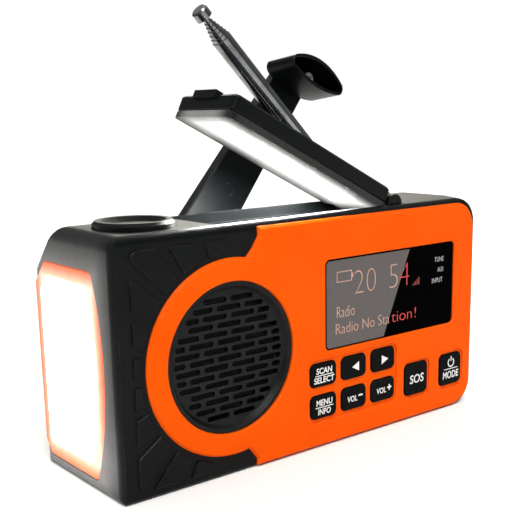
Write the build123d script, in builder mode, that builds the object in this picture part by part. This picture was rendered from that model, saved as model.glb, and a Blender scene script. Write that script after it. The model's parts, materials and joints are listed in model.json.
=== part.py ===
from build123d import *
import os
from math import acos, cos, pi, radians, sin, sqrt, tan

os.makedirs("parts", exist_ok=True)

# Emergency radio, millimetres. The origin is the middle of the flat base, +Z is up,
# the front faces -Y, and the torch is on the left end, at -X.

# ---- driving dimensions -------------------------------------------------------
WIDTH = 168.0
DEPTH = 55.0
HEIGHT = 82.3
WALL = 2.4
LEFT = -WIDTH / 2
RIGHT = WIDTH / 2
FRONT = -DEPTH / 2
BACK = DEPTH / 2

PLATE_FRONT = 1.2        # depth of the black front face behind the orange one
SEAM = 4.4               # depth of the joint between the front plate and the tub
END_SLANT = 17.0         # depth over which the right end widens behind the front
END_CORNER = 10.0        # corners of the right end there
END_CLEAR = 0.05         # keeps the rounding clear of the flat faces
CHAMFER_DEPTH = 18.0     # rear top chamfer, measured along Y
CHAMFER_DROP = 19.0      # and along Z

SPEAKER_X = LEFT + 42.2
SPEAKER_Z = 39.3
RING_OUTER = 32.6
RING_INNER = 25.1
GRILLE_R = 24.85

FASCIA_LEFT = LEFT + 53.3
FASCIA_RIGHT = LEFT + 160.0
FASCIA_TOP = 80.6
FASCIA_BOTTOM = 0.5
FASCIA_THICK = 1.9
FASCIA_GAP = 0.12
FRONT_RIGHT = FASCIA_RIGHT + 0.4         # right edge of the black front face

SCREEN = (LEFT + 115.4, 50.4, 66.6, 31.8)      # centre x, centre z, width, height
KEY_COLUMNS = [LEFT + 80.7, LEFT + 95.4, LEFT + 110.2]
KEY_ROWS = [26.5, 14.95]
KEY_W = 11.95
KEY_H = 8.25
BIG_KEY = 12.3
SOS_X = LEFT + 128.3
POWER_X = LEFT + 148.0
BIG_KEY_Z = 15.65
KEY_GAP = 0.3

PANEL_LENGTH = 81.5
PANEL_DEPTH = 31.6
PANEL_THICK = 8.0
PANEL_ANGLE = 26.5
HINGE_X = LEFT + 120.8
HINGE_Z = 82.4
PANEL_FRONT = FRONT + 4.9
PANEL_MID_Y = PANEL_FRONT + PANEL_DEPTH / 2
RECESS_FLOOR = 78.1

SWITCH_X = LEFT + 18.6
SWITCH_Y = FRONT + 19.0
SWITCH_R = 13.0

CRANK_X = LEFT + 58.0
CRANK_Z = 58.0
CRANK_PIN = 9.0          # hub centre to hinge pin
CRANK_PIN_Y = FRONT + 61.3
ARM_REACH = 101.0        # hub centre to knob axis
ARM_THICK = 5.0
ARM_RAISE = 44.0         # arm above the horizontal, degrees
ARM_LEAN = 11.0          # arm hinged out from the back, degrees
HUB_R = 12.0
KNOB_LENGTH = 15.0
SHAFT_R = 3.0

ANTENNA_X = LEFT + 141.5
ANTENNA_Y = FRONT + 49.0
ANTENNA_Z = 77.0
ANTENNA_LEAN = 45.0
ANTENNA_R = 3.7
ANTENNA_STEP = 0.4       # drop in radius from one section to the next
SECTIONS = 7
TUBE_WALL = 0.35

GEAR_MODULE = 0.8
CRANK_TEETH = 36
IDLER_SMALL = 12
IDLER_LARGE = 36
PINION_TEETH = 10
BACKLASH = 0.12


# ---- small helpers ------------------------------------------------------------
def facing_front(depth):
    """A sketch plane at this depth behind the front, looking at -Y, with x right and z up."""
    return Plane(origin=(0, FRONT + depth, 0), x_dir=(1, 0, 0), z_dir=(0, -1, 0))


def finish(builder, name, *turns):
    """Turn a piece into its rest position, label it and write it."""
    part = builder.part
    for axis, angle in turns:
        part = part.rotate(axis, angle)
    part.label = name
    export_step(part, f"parts/{name}.step")


def block(x, depth, z):
    """A box between two x, two depths behind the front and two heights."""
    with BuildPart() as part:
        with Locations(((x[0] + x[1]) / 2, FRONT + (depth[0] + depth[1]) / 2, (z[0] + z[1]) / 2)):
            Box(x[1] - x[0], depth[1] - depth[0], z[1] - z[0])
    return part.part


def rod(x, z, radius, start, end):
    """A round bar along Y between two depths behind the front."""
    with BuildPart() as part:
        with BuildSketch(facing_front(end)):
            with Locations((x, z)):
                Circle(radius)
        extrude(amount=end - start)
    return part.part


def post(x, y, radius, low, high):
    """A round bar along Z between two heights."""
    with BuildPart() as part:
        with BuildSketch(Plane.XY.offset(low)):
            with Locations((x, y)):
                Circle(radius)
        extrude(amount=high - low)
    return part.part


CRANK_AXIS = Axis((CRANK_X, 0, CRANK_Z), (0, -1, 0))
FLIP_AXIS = Axis((CRANK_X + CRANK_PIN, CRANK_PIN_Y, CRANK_Z), (0, 0, 1))
PANEL_AXIS = Axis((HINGE_X, 0, HINGE_Z), (0, 1, 0))
ANTENNA_TILT_AXIS = Axis((ANTENNA_X, ANTENNA_Y, ANTENNA_Z), (0, -1, 0))


# ---- body envelope ------------------------------------------------------------
def side_profile(inset):
    """Side view: flat base, upright front and back, and a chamfered rear top edge."""
    with BuildSketch(Plane.YZ) as sketch:
        with BuildLine():
            Polyline(
                (FRONT + PLATE_FRONT, 0),
                (FRONT + PLATE_FRONT, HEIGHT),
                (BACK - CHAMFER_DEPTH, HEIGHT),
                (BACK, HEIGHT - CHAMFER_DROP),
                (BACK, 0),
                close=True,
            )
        make_face()
        fillet(sketch.vertices().group_by(Axis.Y)[-1].sort_by(Axis.X)[0], 3.0)
        fillet(sketch.vertices().group_by(Axis.Y)[-1].sort_by(Axis.X)[-1], 4.0)
        fillet(sketch.vertices().group_by(Axis.X)[-1].sort_by(Axis.Y)[-1], 6.0)
        fillet(sketch.vertices().group_by(Axis.Y)[0], 1.2)
        if inset:
            offset(amount=-inset)
    return sketch.sketch


def front_profile(inset):
    """Front view: nearly square left corners, rounded right corners."""
    with BuildSketch(Plane.XZ) as sketch:
        with Locations((0, HEIGHT / 2)):
            Rectangle(WIDTH, HEIGHT)
        fillet(sketch.vertices().group_by(Axis.X)[-1], 11.0)
        fillet(sketch.vertices().group_by(Axis.X)[0].sort_by(Axis.Y)[0], 2.0)
        fillet(sketch.vertices().group_by(Axis.X)[0].sort_by(Axis.Y)[-1], 5.0)
        if inset:
            offset(amount=-inset)
    return sketch.sketch


def plan_profile(inset):
    """Plan: the right end bulges behind the front plate and the corners are eased."""
    with BuildSketch(Plane.XY) as sketch:
        with BuildLine():
            Polyline(
                (LEFT, FRONT),
                (LEFT, BACK),
                (RIGHT, BACK),
                (RIGHT, FRONT + END_SLANT),
                (FRONT_RIGHT, FRONT),
                close=True,
            )
        make_face()
        fillet(sketch.vertices().group_by(Axis.X)[-1].sort_by(Axis.Y)[0], 8.0)
        fillet(sketch.vertices().group_by(Axis.X)[0].sort_by(Axis.Y)[0], 4.0)
        fillet(sketch.vertices().group_by(Axis.Y)[-1], 5.0)
        if inset:
            offset(amount=-inset)
    return sketch.sketch


def slanted_end(inset):
    """A slab whose rounded right corners follow the slanting right end, with the rear behind it."""
    width = 2 * WIDTH
    height = HEIGHT + 2 * END_CLEAR
    with BuildPart() as slab:
        with BuildSketch(facing_front(-END_CLEAR)) as sketch:
            with Locations((FRONT_RIGHT + END_CLEAR - width / 2, HEIGHT / 2)):
                Rectangle(width, height)
            fillet(sketch.vertices().group_by(Axis.X)[-1], END_CORNER)
            if inset:
                offset(amount=-inset)
        slant = Vector(RIGHT - FRONT_RIGHT, END_SLANT, 0)
        extrude(amount=slant.length, dir=slant)
        with Locations((0, FRONT + END_SLANT - END_CLEAR + DEPTH / 2, HEIGHT / 2)):
            Box(width, DEPTH, height)
    return slab.part


def envelope(inset):
    """The body's solid outer form, or its inside when inset by the wall."""
    with BuildPart() as body:
        extrude(side_profile(inset), amount=WIDTH, both=True)
        extrude(front_profile(inset), amount=DEPTH, both=True, mode=Mode.INTERSECT)
        extrude(plan_profile(inset), amount=HEIGHT + 1, mode=Mode.INTERSECT)
        add(slanted_end(inset), mode=Mode.INTERSECT)
    return body.part


OUTER = envelope(0)
INNER = envelope(WALL)


# ---- openings shared by the front pieces ---------------------------------------
def fascia_outline(gap):
    """Orange cover: a panel on the right that runs into a ring round the speaker."""
    with BuildSketch(facing_front(0)) as sketch:
        with BuildLine():
            Polyline(
                (FASCIA_LEFT, FASCIA_TOP),
                (FASCIA_RIGHT, FASCIA_TOP),
                (FASCIA_RIGHT, FASCIA_BOTTOM),
                (FASCIA_LEFT - 2, FASCIA_BOTTOM),
                (FASCIA_LEFT - 2, FASCIA_BOTTOM + 2.4),
                (FASCIA_LEFT - 6, FASCIA_BOTTOM + 7.5),
                (FASCIA_LEFT - 6, FASCIA_TOP - 10.3),
                (FASCIA_LEFT - 2.4, FASCIA_TOP - 6.6),
                (FASCIA_LEFT, FASCIA_TOP - 2.9),
                close=True,
            )
        make_face()
        fillet(sketch.vertices().group_by(Axis.X)[-1], 9.5)
        with Locations((SPEAKER_X, SPEAKER_Z)):
            Circle(RING_OUTER)
        if gap:
            offset(amount=gap)
    return sketch.sketch


def key_places():
    """Name, centre x, centre z, width and height of each key."""
    names = [["scan", "left", "right"], ["menu", "volume_down", "volume_up"]]
    places = []
    for row, z in zip(names, KEY_ROWS):
        for name, x in zip(row, KEY_COLUMNS):
            places.append((name, x, z, KEY_W, KEY_H))
    places.append(("sos", SOS_X, BIG_KEY_Z, BIG_KEY, BIG_KEY))
    places.append(("power", POWER_X, BIG_KEY_Z, BIG_KEY, BIG_KEY))
    return places


def key_openings(depth, grow):
    """The eight key shapes, each larger by grow all round, on a plane at this depth."""
    with BuildSketch(facing_front(depth)) as sketch:
        for name, x, z, w, h in key_places():
            with Locations((x, z)):
                RectangleRounded(w + 2 * grow, h + 2 * grow, 2.0 + grow)
    return sketch.sketch


# ---- front_fascia --------------------------------------------------------------
FASCIA_BACK = PLATE_FRONT + FASCIA_THICK

with BuildPart() as front_fascia:
    with BuildSketch(facing_front(FASCIA_BACK - 0.05)):
        add(fascia_outline(0))
        with Locations((SPEAKER_X, SPEAKER_Z)):
            Circle(RING_INNER, mode=Mode.SUBTRACT)
        with Locations((SCREEN[0], SCREEN[1])):
            RectangleRounded(SCREEN[2] + 0.3, SCREEN[3] + 0.3, 2.0, mode=Mode.SUBTRACT)
    extrude(amount=FASCIA_BACK - 0.05)
    front_face = front_fascia.faces().sort_by(Axis.Y)[0]
    chamfer(front_face.outer_wire().edges(), 0.8)
    front_face = front_fascia.faces().sort_by(Axis.Y)[0]
    chamfer([edge for wire in front_face.inner_wires() for edge in wire.edges()], 0.4)
    # shallow pockets that the keys sit in
    with BuildSketch(facing_front(0.5)):
        with Locations((KEY_COLUMNS[1], sum(KEY_ROWS) / 2)):
            RectangleRounded(44.0, 22.6, 3.4)
        for x in (SOS_X, POWER_X):
            with Locations((x, BIG_KEY_Z)):
                RectangleRounded(BIG_KEY + 2.6, BIG_KEY + 2.6, 3.2)
    extrude(amount=0.5, mode=Mode.SUBTRACT)
    extrude(key_openings(FASCIA_BACK, KEY_GAP), amount=4.0, mode=Mode.SUBTRACT)

finish(front_fascia, "front_fascia")


# ---- front_housing -------------------------------------------------------------
TREAD_ANGLES = [98.5, 115.5, 130.5, 145.0, 160.0, 175.0, 190.0, 205.0, 220.0, 234.5, 249.5]
TREAD_INNER = RING_OUTER + 1.9
TREAD_OUTER = 60.0
TREAD_HALF = 5.3          # half the angle that one tread block covers, degrees
TREAD_EDGE = LEFT + 5.5   # the blocks stop short of the left edge
LIP_DEPTH = 7.0
BOSS_DEPTH = 22.0
SCREW_PLACES = [(LEFT + 33, 71), (LEFT + 128.5, 72), (LEFT + 28.5, 7.2), (LEFT + 138.2, 6.8)]


def tread_blocks():
    """Raised blocks that radiate from the speaker ring over the black front."""
    with BuildPart() as tread:
        with BuildSketch(facing_front(PLATE_FRONT + 0.3)):
            for angle in TREAD_ANGLES:
                sides = [radians(angle - TREAD_HALF), radians(angle + TREAD_HALF)]
                corners = [(TREAD_INNER, sides[0]), (TREAD_OUTER, sides[0])]
                corners += [(TREAD_OUTER, sides[1]), (TREAD_INNER, sides[1])]
                with BuildLine():
                    Polyline(
                        *[(SPEAKER_X + r * cos(a), SPEAKER_Z + r * sin(a)) for r, a in corners],
                        close=True,
                    )
                make_face()
            width = FASCIA_LEFT - 3 - TREAD_EDGE
            with Locations((TREAD_EDGE + width / 2, HEIGHT / 2 - 0.8)):
                RectangleRounded(width, HEIGHT - 7.4, 3, mode=Mode.INTERSECT)
        extrude(amount=1.1)
        tops = tread.faces().filter_by(Axis.Y).group_by(Axis.Y)[0]
        chamfer(tops.edges(), 0.3)
    return tread.part


def speaker_screw_places():
    """Four screws round the loudspeaker's rim."""
    reach = 30.8 * sqrt(0.5)
    return [(SPEAKER_X + i * reach, SPEAKER_Z + j * reach) for i in (-1, 1) for j in (-1, 1)]


everywhere = (LEFT - 9, RIGHT + 9)
front_plate = OUTER & block(everywhere, (-9, SEAM), (-9, HEIGHT + 9))
with BuildPart() as lip:
    add(envelope(WALL + 0.25))
    add(block(everywhere, (SEAM - 0.1, LIP_DEPTH), (0, RECESS_FLOOR - WALL - 0.4)), mode=Mode.INTERSECT)
    with BuildSketch(facing_front(LIP_DEPTH + 1)):
        with Locations(((LEFT + FASCIA_RIGHT + WALL) / 2, HEIGHT / 2)):
            RectangleRounded(FASCIA_RIGHT - LEFT - WALL - 3.3, HEIGHT - 2 * WALL - 3.3, 3)
    extrude(amount=4, mode=Mode.SUBTRACT)

with BuildPart() as front_housing:
    add(front_plate)
    add(tread_blocks())
    fascia_seat = fascia_outline(FASCIA_GAP).move(Location((0, FASCIA_BACK, 0)))
    extrude(fascia_seat, amount=9, mode=Mode.SUBTRACT)
    with BuildSketch(facing_front(SEAM + 1)):
        with Locations((SPEAKER_X, SPEAKER_Z)):
            Circle(GRILLE_R + 0.1)
        with Locations((SCREEN[0], SCREEN[1])):
            RectangleRounded(SCREEN[2] - 6, SCREEN[3] - 6, 1.5)
    extrude(amount=6, mode=Mode.SUBTRACT)
    extrude(key_openings(SEAM + 1, KEY_GAP), amount=6, mode=Mode.SUBTRACT)
    add(lip.part)
    for x, z in speaker_screw_places():
        add(rod(x, z, 2.6, SEAM - 0.1, 6.0))
        add(rod(x, z, 0.9, SEAM - 0.4, 6.1), mode=Mode.SUBTRACT)
    with BuildSketch(facing_front(BOSS_DEPTH)):
        with Locations(*SCREW_PLACES):
            Circle(3.2)
    extrude(amount=BOSS_DEPTH - SEAM + 0.3)
    with BuildSketch(facing_front(BOSS_DEPTH)):
        with Locations(*SCREW_PLACES):
            Circle(1.25)
    extrude(amount=BOSS_DEPTH - SEAM - 2, mode=Mode.SUBTRACT)

finish(front_housing, "front_housing")


# ---- rear_housing --------------------------------------------------------------
RECESS_LEFT = HINGE_X - PANEL_LENGTH - 0.6
RECESS_RIGHT = HINGE_X + 4.7
RECESS_BACK = 37.0
EAR_R = 3.5
EARS = [(5.0, 9.0), (32.4, 36.8)]
PIN_R = 1.25

BEZEL_THICK = 3.2
TORCH_WALL = 5.8
TORCH_MID_DEPTH = 33.5
TORCH_MID_Z = 37.0

BOSS_R = 13.0
BUSH_R = 5.0
KNOB_BULGE = 7.2         # bowed side of the knob, from its turning axis
KNOB_FLAT = 4.8          # flatter side
KNOB_HALF = 15.7         # half its long axis
KNOB_TIP = 2.7           # what rounding the tips takes off
KNOB_ROUND = 3.0
POCKET_GAP = 1.3
POCKET_W = KNOB_BULGE + KNOB_FLAT + 2 * POCKET_GAP
POCKET_H = 2 * KNOB_HALF + 2 * POCKET_GAP
POCKET_DEPTH = 38.5
POCKET_X = CRANK_X + ARM_REACH + (KNOB_FLAT - KNOB_BULGE) / 2

TURRET_FLOOR = 71.0
SOCKET_R = 3.5
COLLAR_R = 5.9            # raised collar that carries the antenna on the sloping edge

FLAP_DEPTHS = (22.5, 45.5)
FLAP_HEIGHTS = (7.0, 25.0)
FLAP_RECESS = 1.9
FLAP_AXIS_X = RIGHT - 1.0
FLAP_AXIS_Z = 8.2
PORT_WALL = RIGHT - 6.0
SCREW_SEAT = 38.0

GROOVES = 6
GROOVE_LOW = 15.5
GROOVE_PITCH = 4.2
GROOVE_WIDTH = 1.8
GROOVE_DEPTH = 0.8


def torch_outline(inset):
    """End view of the torch: straight at the back, bowed towards the front."""
    with BuildSketch(Plane.YZ.offset(LEFT)) as sketch:
        with BuildLine():
            bow = ThreePointArc(
                (FRONT + 14.7, 71.0), (FRONT + 9.2, TORCH_MID_Z), (FRONT + 17.0, 3.2)
            )
            Polyline(
                bow @ 0,
                (FRONT + 46.2, 71.0),
                (FRONT + 53.4, 63.4),
                (FRONT + 53.4, 8.0),
                (FRONT + 49.5, 3.2),
                bow @ 1,
            )
        make_face()
        fillet(sketch.vertices(), 2.5)
        if inset:
            offset(amount=-inset)
    return sketch.sketch


def torch_slab(inset, start, end):
    """The torch outline as a slab between two distances in from the left end."""
    with BuildPart() as part:
        extrude(torch_outline(inset).move(Location((start, 0, 0))), amount=end - start)
    return part.part


knob_pocket_wall = block(
    (POCKET_X - POCKET_W / 2 - WALL, RIGHT),
    (POCKET_DEPTH - WALL, DEPTH),
    (CRANK_Z - POCKET_H / 2 - WALL, CRANK_Z + POCKET_H / 2 + WALL),
)
tub = OUTER & block(everywhere, (SEAM, DEPTH + 9), (-9, HEIGHT + 9))
tray = block(
    (RECESS_LEFT - WALL, RECESS_RIGHT + WALL),
    (SEAM, RECESS_BACK + WALL),
    (RECESS_FLOOR - WALL, 99),
)
port_pad = block((PORT_WALL, RIGHT), (20, 48), (3, 27.5))
turret_pad = post(ANTENNA_X, ANTENNA_Y, 8.2, 62, 99)

with BuildPart() as rear_housing:
    add(tub)
    add(INNER, mode=Mode.SUBTRACT)
    add(OUTER & tray)
    add(OUTER & torch_slab(-2.0, 0, TORCH_WALL))
    add(OUTER & knob_pocket_wall)
    add(OUTER & port_pad)
    add(OUTER & turret_pad)
    add(post(ANTENNA_X, ANTENNA_Y, COLLAR_R, 62, TURRET_FLOOR))
    add(rod(CRANK_X, CRANK_Z, BOSS_R, 45, DEPTH))
    add(rod(CRANK_X, CRANK_Z, BUSH_R + 2.5, 42, 46))
    for x, z in SCREW_PLACES:
        add(OUTER & rod(x, z, 4.2, BOSS_DEPTH + 0.3, DEPTH))
    # recess and ears for the lid
    recess = block((RECESS_LEFT, RECESS_RIGHT), (SEAM - 1, RECESS_BACK), (RECESS_FLOOR, 99))
    add(recess, mode=Mode.SUBTRACT)
    for start, end in EARS:
        add(rod(HINGE_X, HINGE_Z, EAR_R, start, end))
        add(block((HINGE_X - EAR_R, HINGE_X + EAR_R), (start, end), (RECESS_FLOOR - 0.5, HINGE_Z)))
    add(rod(HINGE_X, HINGE_Z, PIN_R, 4.5, RECESS_BACK), mode=Mode.SUBTRACT)
    # torch seat
    add(torch_slab(0, -1, BEZEL_THICK), mode=Mode.SUBTRACT)
    add(torch_slab(6.0, 0, TORCH_WALL + 1), mode=Mode.SUBTRACT)
    # crank bearing and the pocket for the folded knob
    add(rod(CRANK_X, CRANK_Z, BUSH_R, 40, DEPTH + 1), mode=Mode.SUBTRACT)
    with BuildSketch(facing_front(DEPTH + 1)):
        with Locations((POCKET_X, CRANK_Z)):
            RectangleRounded(POCKET_W, POCKET_H, 6.0)
    extrude(amount=DEPTH + 1 - POCKET_DEPTH, mode=Mode.SUBTRACT)
    # antenna turret seat
    add(post(ANTENNA_X, ANTENNA_Y, 5.7, TURRET_FLOOR, 99), mode=Mode.SUBTRACT)
    add(post(ANTENNA_X, ANTENNA_Y, SOCKET_R, 60, 99), mode=Mode.SUBTRACT)
    # lamp switch opening
    add(post(SWITCH_X, SWITCH_Y, SWITCH_R + 0.3, RECESS_FLOOR - 5, 99), mode=Mode.SUBTRACT)
    # flap recess and the opening to the sockets
    add(block((RIGHT - FLAP_RECESS, RIGHT + 1), FLAP_DEPTHS, FLAP_HEIGHTS), mode=Mode.SUBTRACT)
    add(block((PORT_WALL - 1, RIGHT), (26.5, 41.5), (10.5, 22.5)), mode=Mode.SUBTRACT)
    pivot_holes = rod(FLAP_AXIS_X, FLAP_AXIS_Z, 0.55, FLAP_DEPTHS[0] - 0.6, FLAP_DEPTHS[1] + 0.6)
    add(pivot_holes, mode=Mode.SUBTRACT)
    # grip grooves across the back
    with BuildSketch(facing_front(DEPTH + 1)):
        for row in range(GROOVES):
            with Locations((LEFT + 83, GROOVE_LOW + row * GROOVE_PITCH)):
                SlotOverall(116, GROOVE_WIDTH)
    extrude(amount=GROOVE_DEPTH + 1, mode=Mode.SUBTRACT)
    # screw holes
    for x, z in SCREW_PLACES:
        add(rod(x, z, 3.0, SCREW_SEAT, DEPTH + 1), mode=Mode.SUBTRACT)
        add(rod(x, z, 1.6, BOSS_DEPTH, SCREW_SEAT + 1), mode=Mode.SUBTRACT)

finish(rear_housing, "rear_housing")

with BuildPart() as housing_screws:
    for x, z in SCREW_PLACES:
        add(rod(x, z, 1.2, 8.0, SCREW_SEAT))
        add(rod(x, z, 2.8, SCREW_SEAT, SCREW_SEAT + 2))
    with BuildSketch(facing_front(SCREW_SEAT + 3)):
        with Locations(*SCREW_PLACES):
            Rectangle(3.4, 0.8)
            Rectangle(0.8, 3.4)
    extrude(amount=2.0, mode=Mode.SUBTRACT)

finish(housing_screws, "housing_screws")


# ---- loudspeaker ---------------------------------------------------------------
SLOT_LENGTH = 9.5
SLOT_PITCH_X = 11.0
SLOT_WIDTH = 1.9
SLOT_PITCH_Z = 2.75
SLOT_ZONE_R = 21.6
SPEAKER_AXIS = Axis((SPEAKER_X, 0, SPEAKER_Z), (0, 1, 0))


def speaker_plane():
    """Half section through the loudspeaker: local x is the radius, local y runs along Y."""
    return Plane(origin=(SPEAKER_X, FRONT, SPEAKER_Z), x_dir=(1, 0, 0), z_dir=(0, 0, 1))


def turned_profile(points):
    """A ring or disc made by turning a closed outline of (radius, depth) about the speaker axis."""
    with BuildPart() as part:
        with BuildSketch(speaker_plane()):
            with BuildLine():
                Polyline(*points, close=True)
            make_face()
        revolve(axis=SPEAKER_AXIS)
    return part.part


def grille_slots():
    """Centre and length of each slot, in staggered rows clipped to a circle."""
    slots = []
    rows = int(SLOT_ZONE_R / SLOT_PITCH_Z)
    for row in range(-rows, rows + 1):
        z = row * SLOT_PITCH_Z
        half_width = sqrt(SLOT_ZONE_R**2 - z**2)
        shift = SLOT_PITCH_X / 2 if row % 2 else 0.0
        for column in range(-3, 4):
            middle = column * SLOT_PITCH_X + shift
            low = max(middle - SLOT_LENGTH / 2, -half_width)
            high = min(middle + SLOT_LENGTH / 2, half_width)
            if high - low > SLOT_WIDTH + 1.2:
                slots.append(((low + high) / 2, z, high - low))
    return slots


with BuildPart() as speaker_grille:
    add(turned_profile([
        (0, 2.5), (22.4, 2.5), (23.6, 1.0), (GRILLE_R, 1.0), (GRILLE_R, 4.6),
        (27.0, 4.6), (27.0, 5.7), (22.4, 5.7), (22.4, 3.9), (0, 3.9),
    ]))
    with BuildSketch(facing_front(4.5)):
        for x, z, length in grille_slots():
            with Locations((SPEAKER_X + x, SPEAKER_Z + z)):
                SlotOverall(length, SLOT_WIDTH)
    extrude(amount=3, mode=Mode.SUBTRACT)

finish(speaker_grille, "speaker_grille")

with BuildPart() as speaker_frame:
    with BuildSketch(facing_front(7.4)):
        for x, z in speaker_screw_places():
            with Locations((x, z)):
                Circle(3.0)
        with Locations((SPEAKER_X, SPEAKER_Z)):
            Circle(27.5)
            Circle(24.0, mode=Mode.SUBTRACT)
    extrude(amount=1.3)
    for x, z in speaker_screw_places():
        add(rod(x, z, 1.05, 6, 8), mode=Mode.SUBTRACT)
    add(turned_profile([
        (22.6, 6.1), (28.5, 6.1), (28.5, 7.4), (24.4, 7.4), (16.2, 20.2), (16.2, 21.2),
        (7.0, 21.2), (7.0, 20.0), (15.0, 20.0), (22.6, 8.0),
    ]))
    with BuildSketch(facing_front(19.5)):
        with Locations((SPEAKER_X, SPEAKER_Z)):
            with PolarLocations(18.5, 4, start_angle=45):
                RectangleRounded(9, 14, 2)
    extrude(amount=11.5, mode=Mode.SUBTRACT)

finish(speaker_frame, "speaker_frame")

with BuildPart() as speaker_cone:
    add(turned_profile([
        (5.0, 15.2), (18.5, 8.2), (20.0, 7.0), (21.4, 6.6), (22.3, 7.2), (22.3, 7.8),
        (21.4, 7.2), (20.2, 7.7), (18.7, 8.9), (5.0, 15.9),
    ]))
    add(turned_profile([(0, 13.4), (3.0, 13.9), (5.4, 15.3), (5.4, 16.0), (3.0, 14.7), (0, 14.2)]))

finish(speaker_cone, "speaker_cone")

with BuildPart() as speaker_magnet:
    add(rod(SPEAKER_X, SPEAKER_Z, 16.0, 22.8, 30.0))
    add(rod(SPEAKER_X, SPEAKER_Z, 13.0, 21.3, 22.8))
    add(rod(SPEAKER_X, SPEAKER_Z, 13.0, 30.0, 31.4))
    add(rod(SPEAKER_X, SPEAKER_Z, 5.2, 17.5, 21.3))

finish(speaker_magnet, "speaker_magnet")

with BuildPart() as speaker_screws:
    for x, z in speaker_screw_places():
        add(rod(x, z, 0.9, SEAM, 7.4))
        add(rod(x, z, 2.1, 7.4, 8.8))
    with BuildSketch(facing_front(9)):
        with Locations(*speaker_screw_places()):
            Rectangle(2.6, 0.6)
            Rectangle(0.6, 2.6)
    extrude(amount=0.9, mode=Mode.SUBTRACT)

finish(speaker_screws, "speaker_screws")


# ---- display, keys and boards --------------------------------------------------
with BuildPart() as display_window:
    with BuildSketch(facing_front(FASCIA_BACK - 0.1)):
        with Locations((SCREEN[0], SCREEN[1])):
            RectangleRounded(SCREEN[2], SCREEN[3], 1.85)
    extrude(amount=FASCIA_BACK - 0.6)
    chamfer(display_window.faces().sort_by(Axis.Y)[0].edges(), 0.25)

finish(display_window, "display_window")

with BuildPart() as display_module:
    add(block((SCREEN[0] - 34, SCREEN[0] + 34), (6.2, 9.2), (SCREEN[1] - 16, SCREEN[1] + 16)))
    add(block((SCREEN[0] - 30, SCREEN[0] + 30), (4.7, 6.2), (SCREEN[1] - 12.5, SCREEN[1] + 12.5)))

finish(display_module, "display_module")

for name, x, z, w, h in key_places():
    with BuildPart() as button:
        with BuildSketch(facing_front(4.6)):
            with Locations((x, z)):
                RectangleRounded(w, h, 2.0)
        extrude(amount=4.9)
        chamfer(button.faces().sort_by(Axis.Y)[0].edges(), 0.4)
        with BuildSketch(facing_front(5.4)):
            with Locations((x, z)):
                RectangleRounded(w + 1.6, h + 1.6, 2.4)
        extrude(amount=0.8)
    finish(button, f"button_{name}")

with BuildPart() as keypad_mat:
    with BuildSketch(facing_front(7.4)):
        with Locations(((KEY_COLUMNS[0] + POWER_X) / 2, sum(KEY_ROWS) / 2)):
            RectangleRounded(POWER_X - KEY_COLUMNS[0] + 16, 23.5, 2)
    extrude(amount=0.9)
    with BuildSketch(facing_front(10.8)):
        for name, x, z, w, h in key_places():
            with Locations((x, z)):
                Circle(2.6)
    extrude(amount=3.6)
    add(rod(*SCREW_PLACES[3], 3.7, 5, 12), mode=Mode.SUBTRACT)

finish(keypad_mat, "keypad_mat")

with BuildPart() as main_board:
    add(block((LEFT + 74, LEFT + 158), (11.4, 13.0), (6.5, 68)))
    for x in (90, 108, 126):
        add(block((LEFT + x, LEFT + x + 9), (13.0, 14.2), (55, 64)))
    add(block((LEFT + 112, LEFT + 130), (13.0, 14.6), (34, 48)))
    add(rod(*SCREW_PLACES[3], 3.7, 11, 16), mode=Mode.SUBTRACT)

finish(main_board, "main_board")

with BuildPart() as battery_cell:
    with BuildSketch(Plane.YZ.offset(LEFT + 60)):
        with Locations((FRONT + 41, 14.0)):
            Circle(9.2)
    extrude(amount=66)
    chamfer(battery_cell.edges().filter_by(GeomType.CIRCLE), 0.8)
    with BuildSketch(Plane.YZ.offset(LEFT + 126)):
        with Locations((FRONT + 41, 14.0)):
            Circle(3.2)
    extrude(amount=1.2)

finish(battery_cell, "battery_cell")


# ---- torch on the left end -----------------------------------------------------
with BuildPart() as torch_bezel:
    add(torch_slab(0.15, 0, BEZEL_THICK - 0.05))
    chamfer(torch_bezel.faces().sort_by(Axis.X)[0].edges(), 0.7)
    add(torch_slab(5.0, -1, 4), mode=Mode.SUBTRACT)
    add(torch_slab(3.6, 1.9, 4), mode=Mode.SUBTRACT)

finish(torch_bezel, "torch_bezel")

with BuildPart() as torch_lens:
    add(torch_slab(5.15, -0.6, 1.95))
    chamfer(torch_lens.faces().sort_by(Axis.X)[0].edges(), 0.5)
    add(torch_slab(3.75, 1.95, BEZEL_THICK - 0.1))

finish(torch_lens, "torch_lens")


def reflector_form(shrink, start, end):
    """A tapering trough behind the torch lens."""
    with BuildPart() as part:
        for x, w, h, r in ((start, 26.0, 54.0, 8.0), (end, 14.0, 38.0, 5.0)):
            with BuildSketch(Plane.YZ.offset(LEFT + x)):
                with Locations((FRONT + TORCH_MID_DEPTH, TORCH_MID_Z)):
                    RectangleRounded(w - shrink, h - shrink, r - shrink / 2)
        loft()
    return part.part


with BuildPart() as torch_reflector:
    add(reflector_form(0, TORCH_WALL + 0.2, 17.0))
    add(reflector_form(2.4, TORCH_WALL + 0.1, 17.1), mode=Mode.SUBTRACT)

finish(torch_reflector, "torch_reflector")

with BuildPart() as torch_board:
    middle = FRONT + TORCH_MID_DEPTH
    with Locations((LEFT + 18.1, middle, TORCH_MID_Z)):
        Box(1.6, 18, 42)
    with BuildSketch(Plane.YZ.offset(LEFT + 15.8)):
        with Locations((middle, TORCH_MID_Z)):
            with GridLocations(5.4, 5.4, 2, 6):
                Circle(1.7)
    extrude(amount=1.6)

finish(torch_board, "torch_board")

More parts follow.
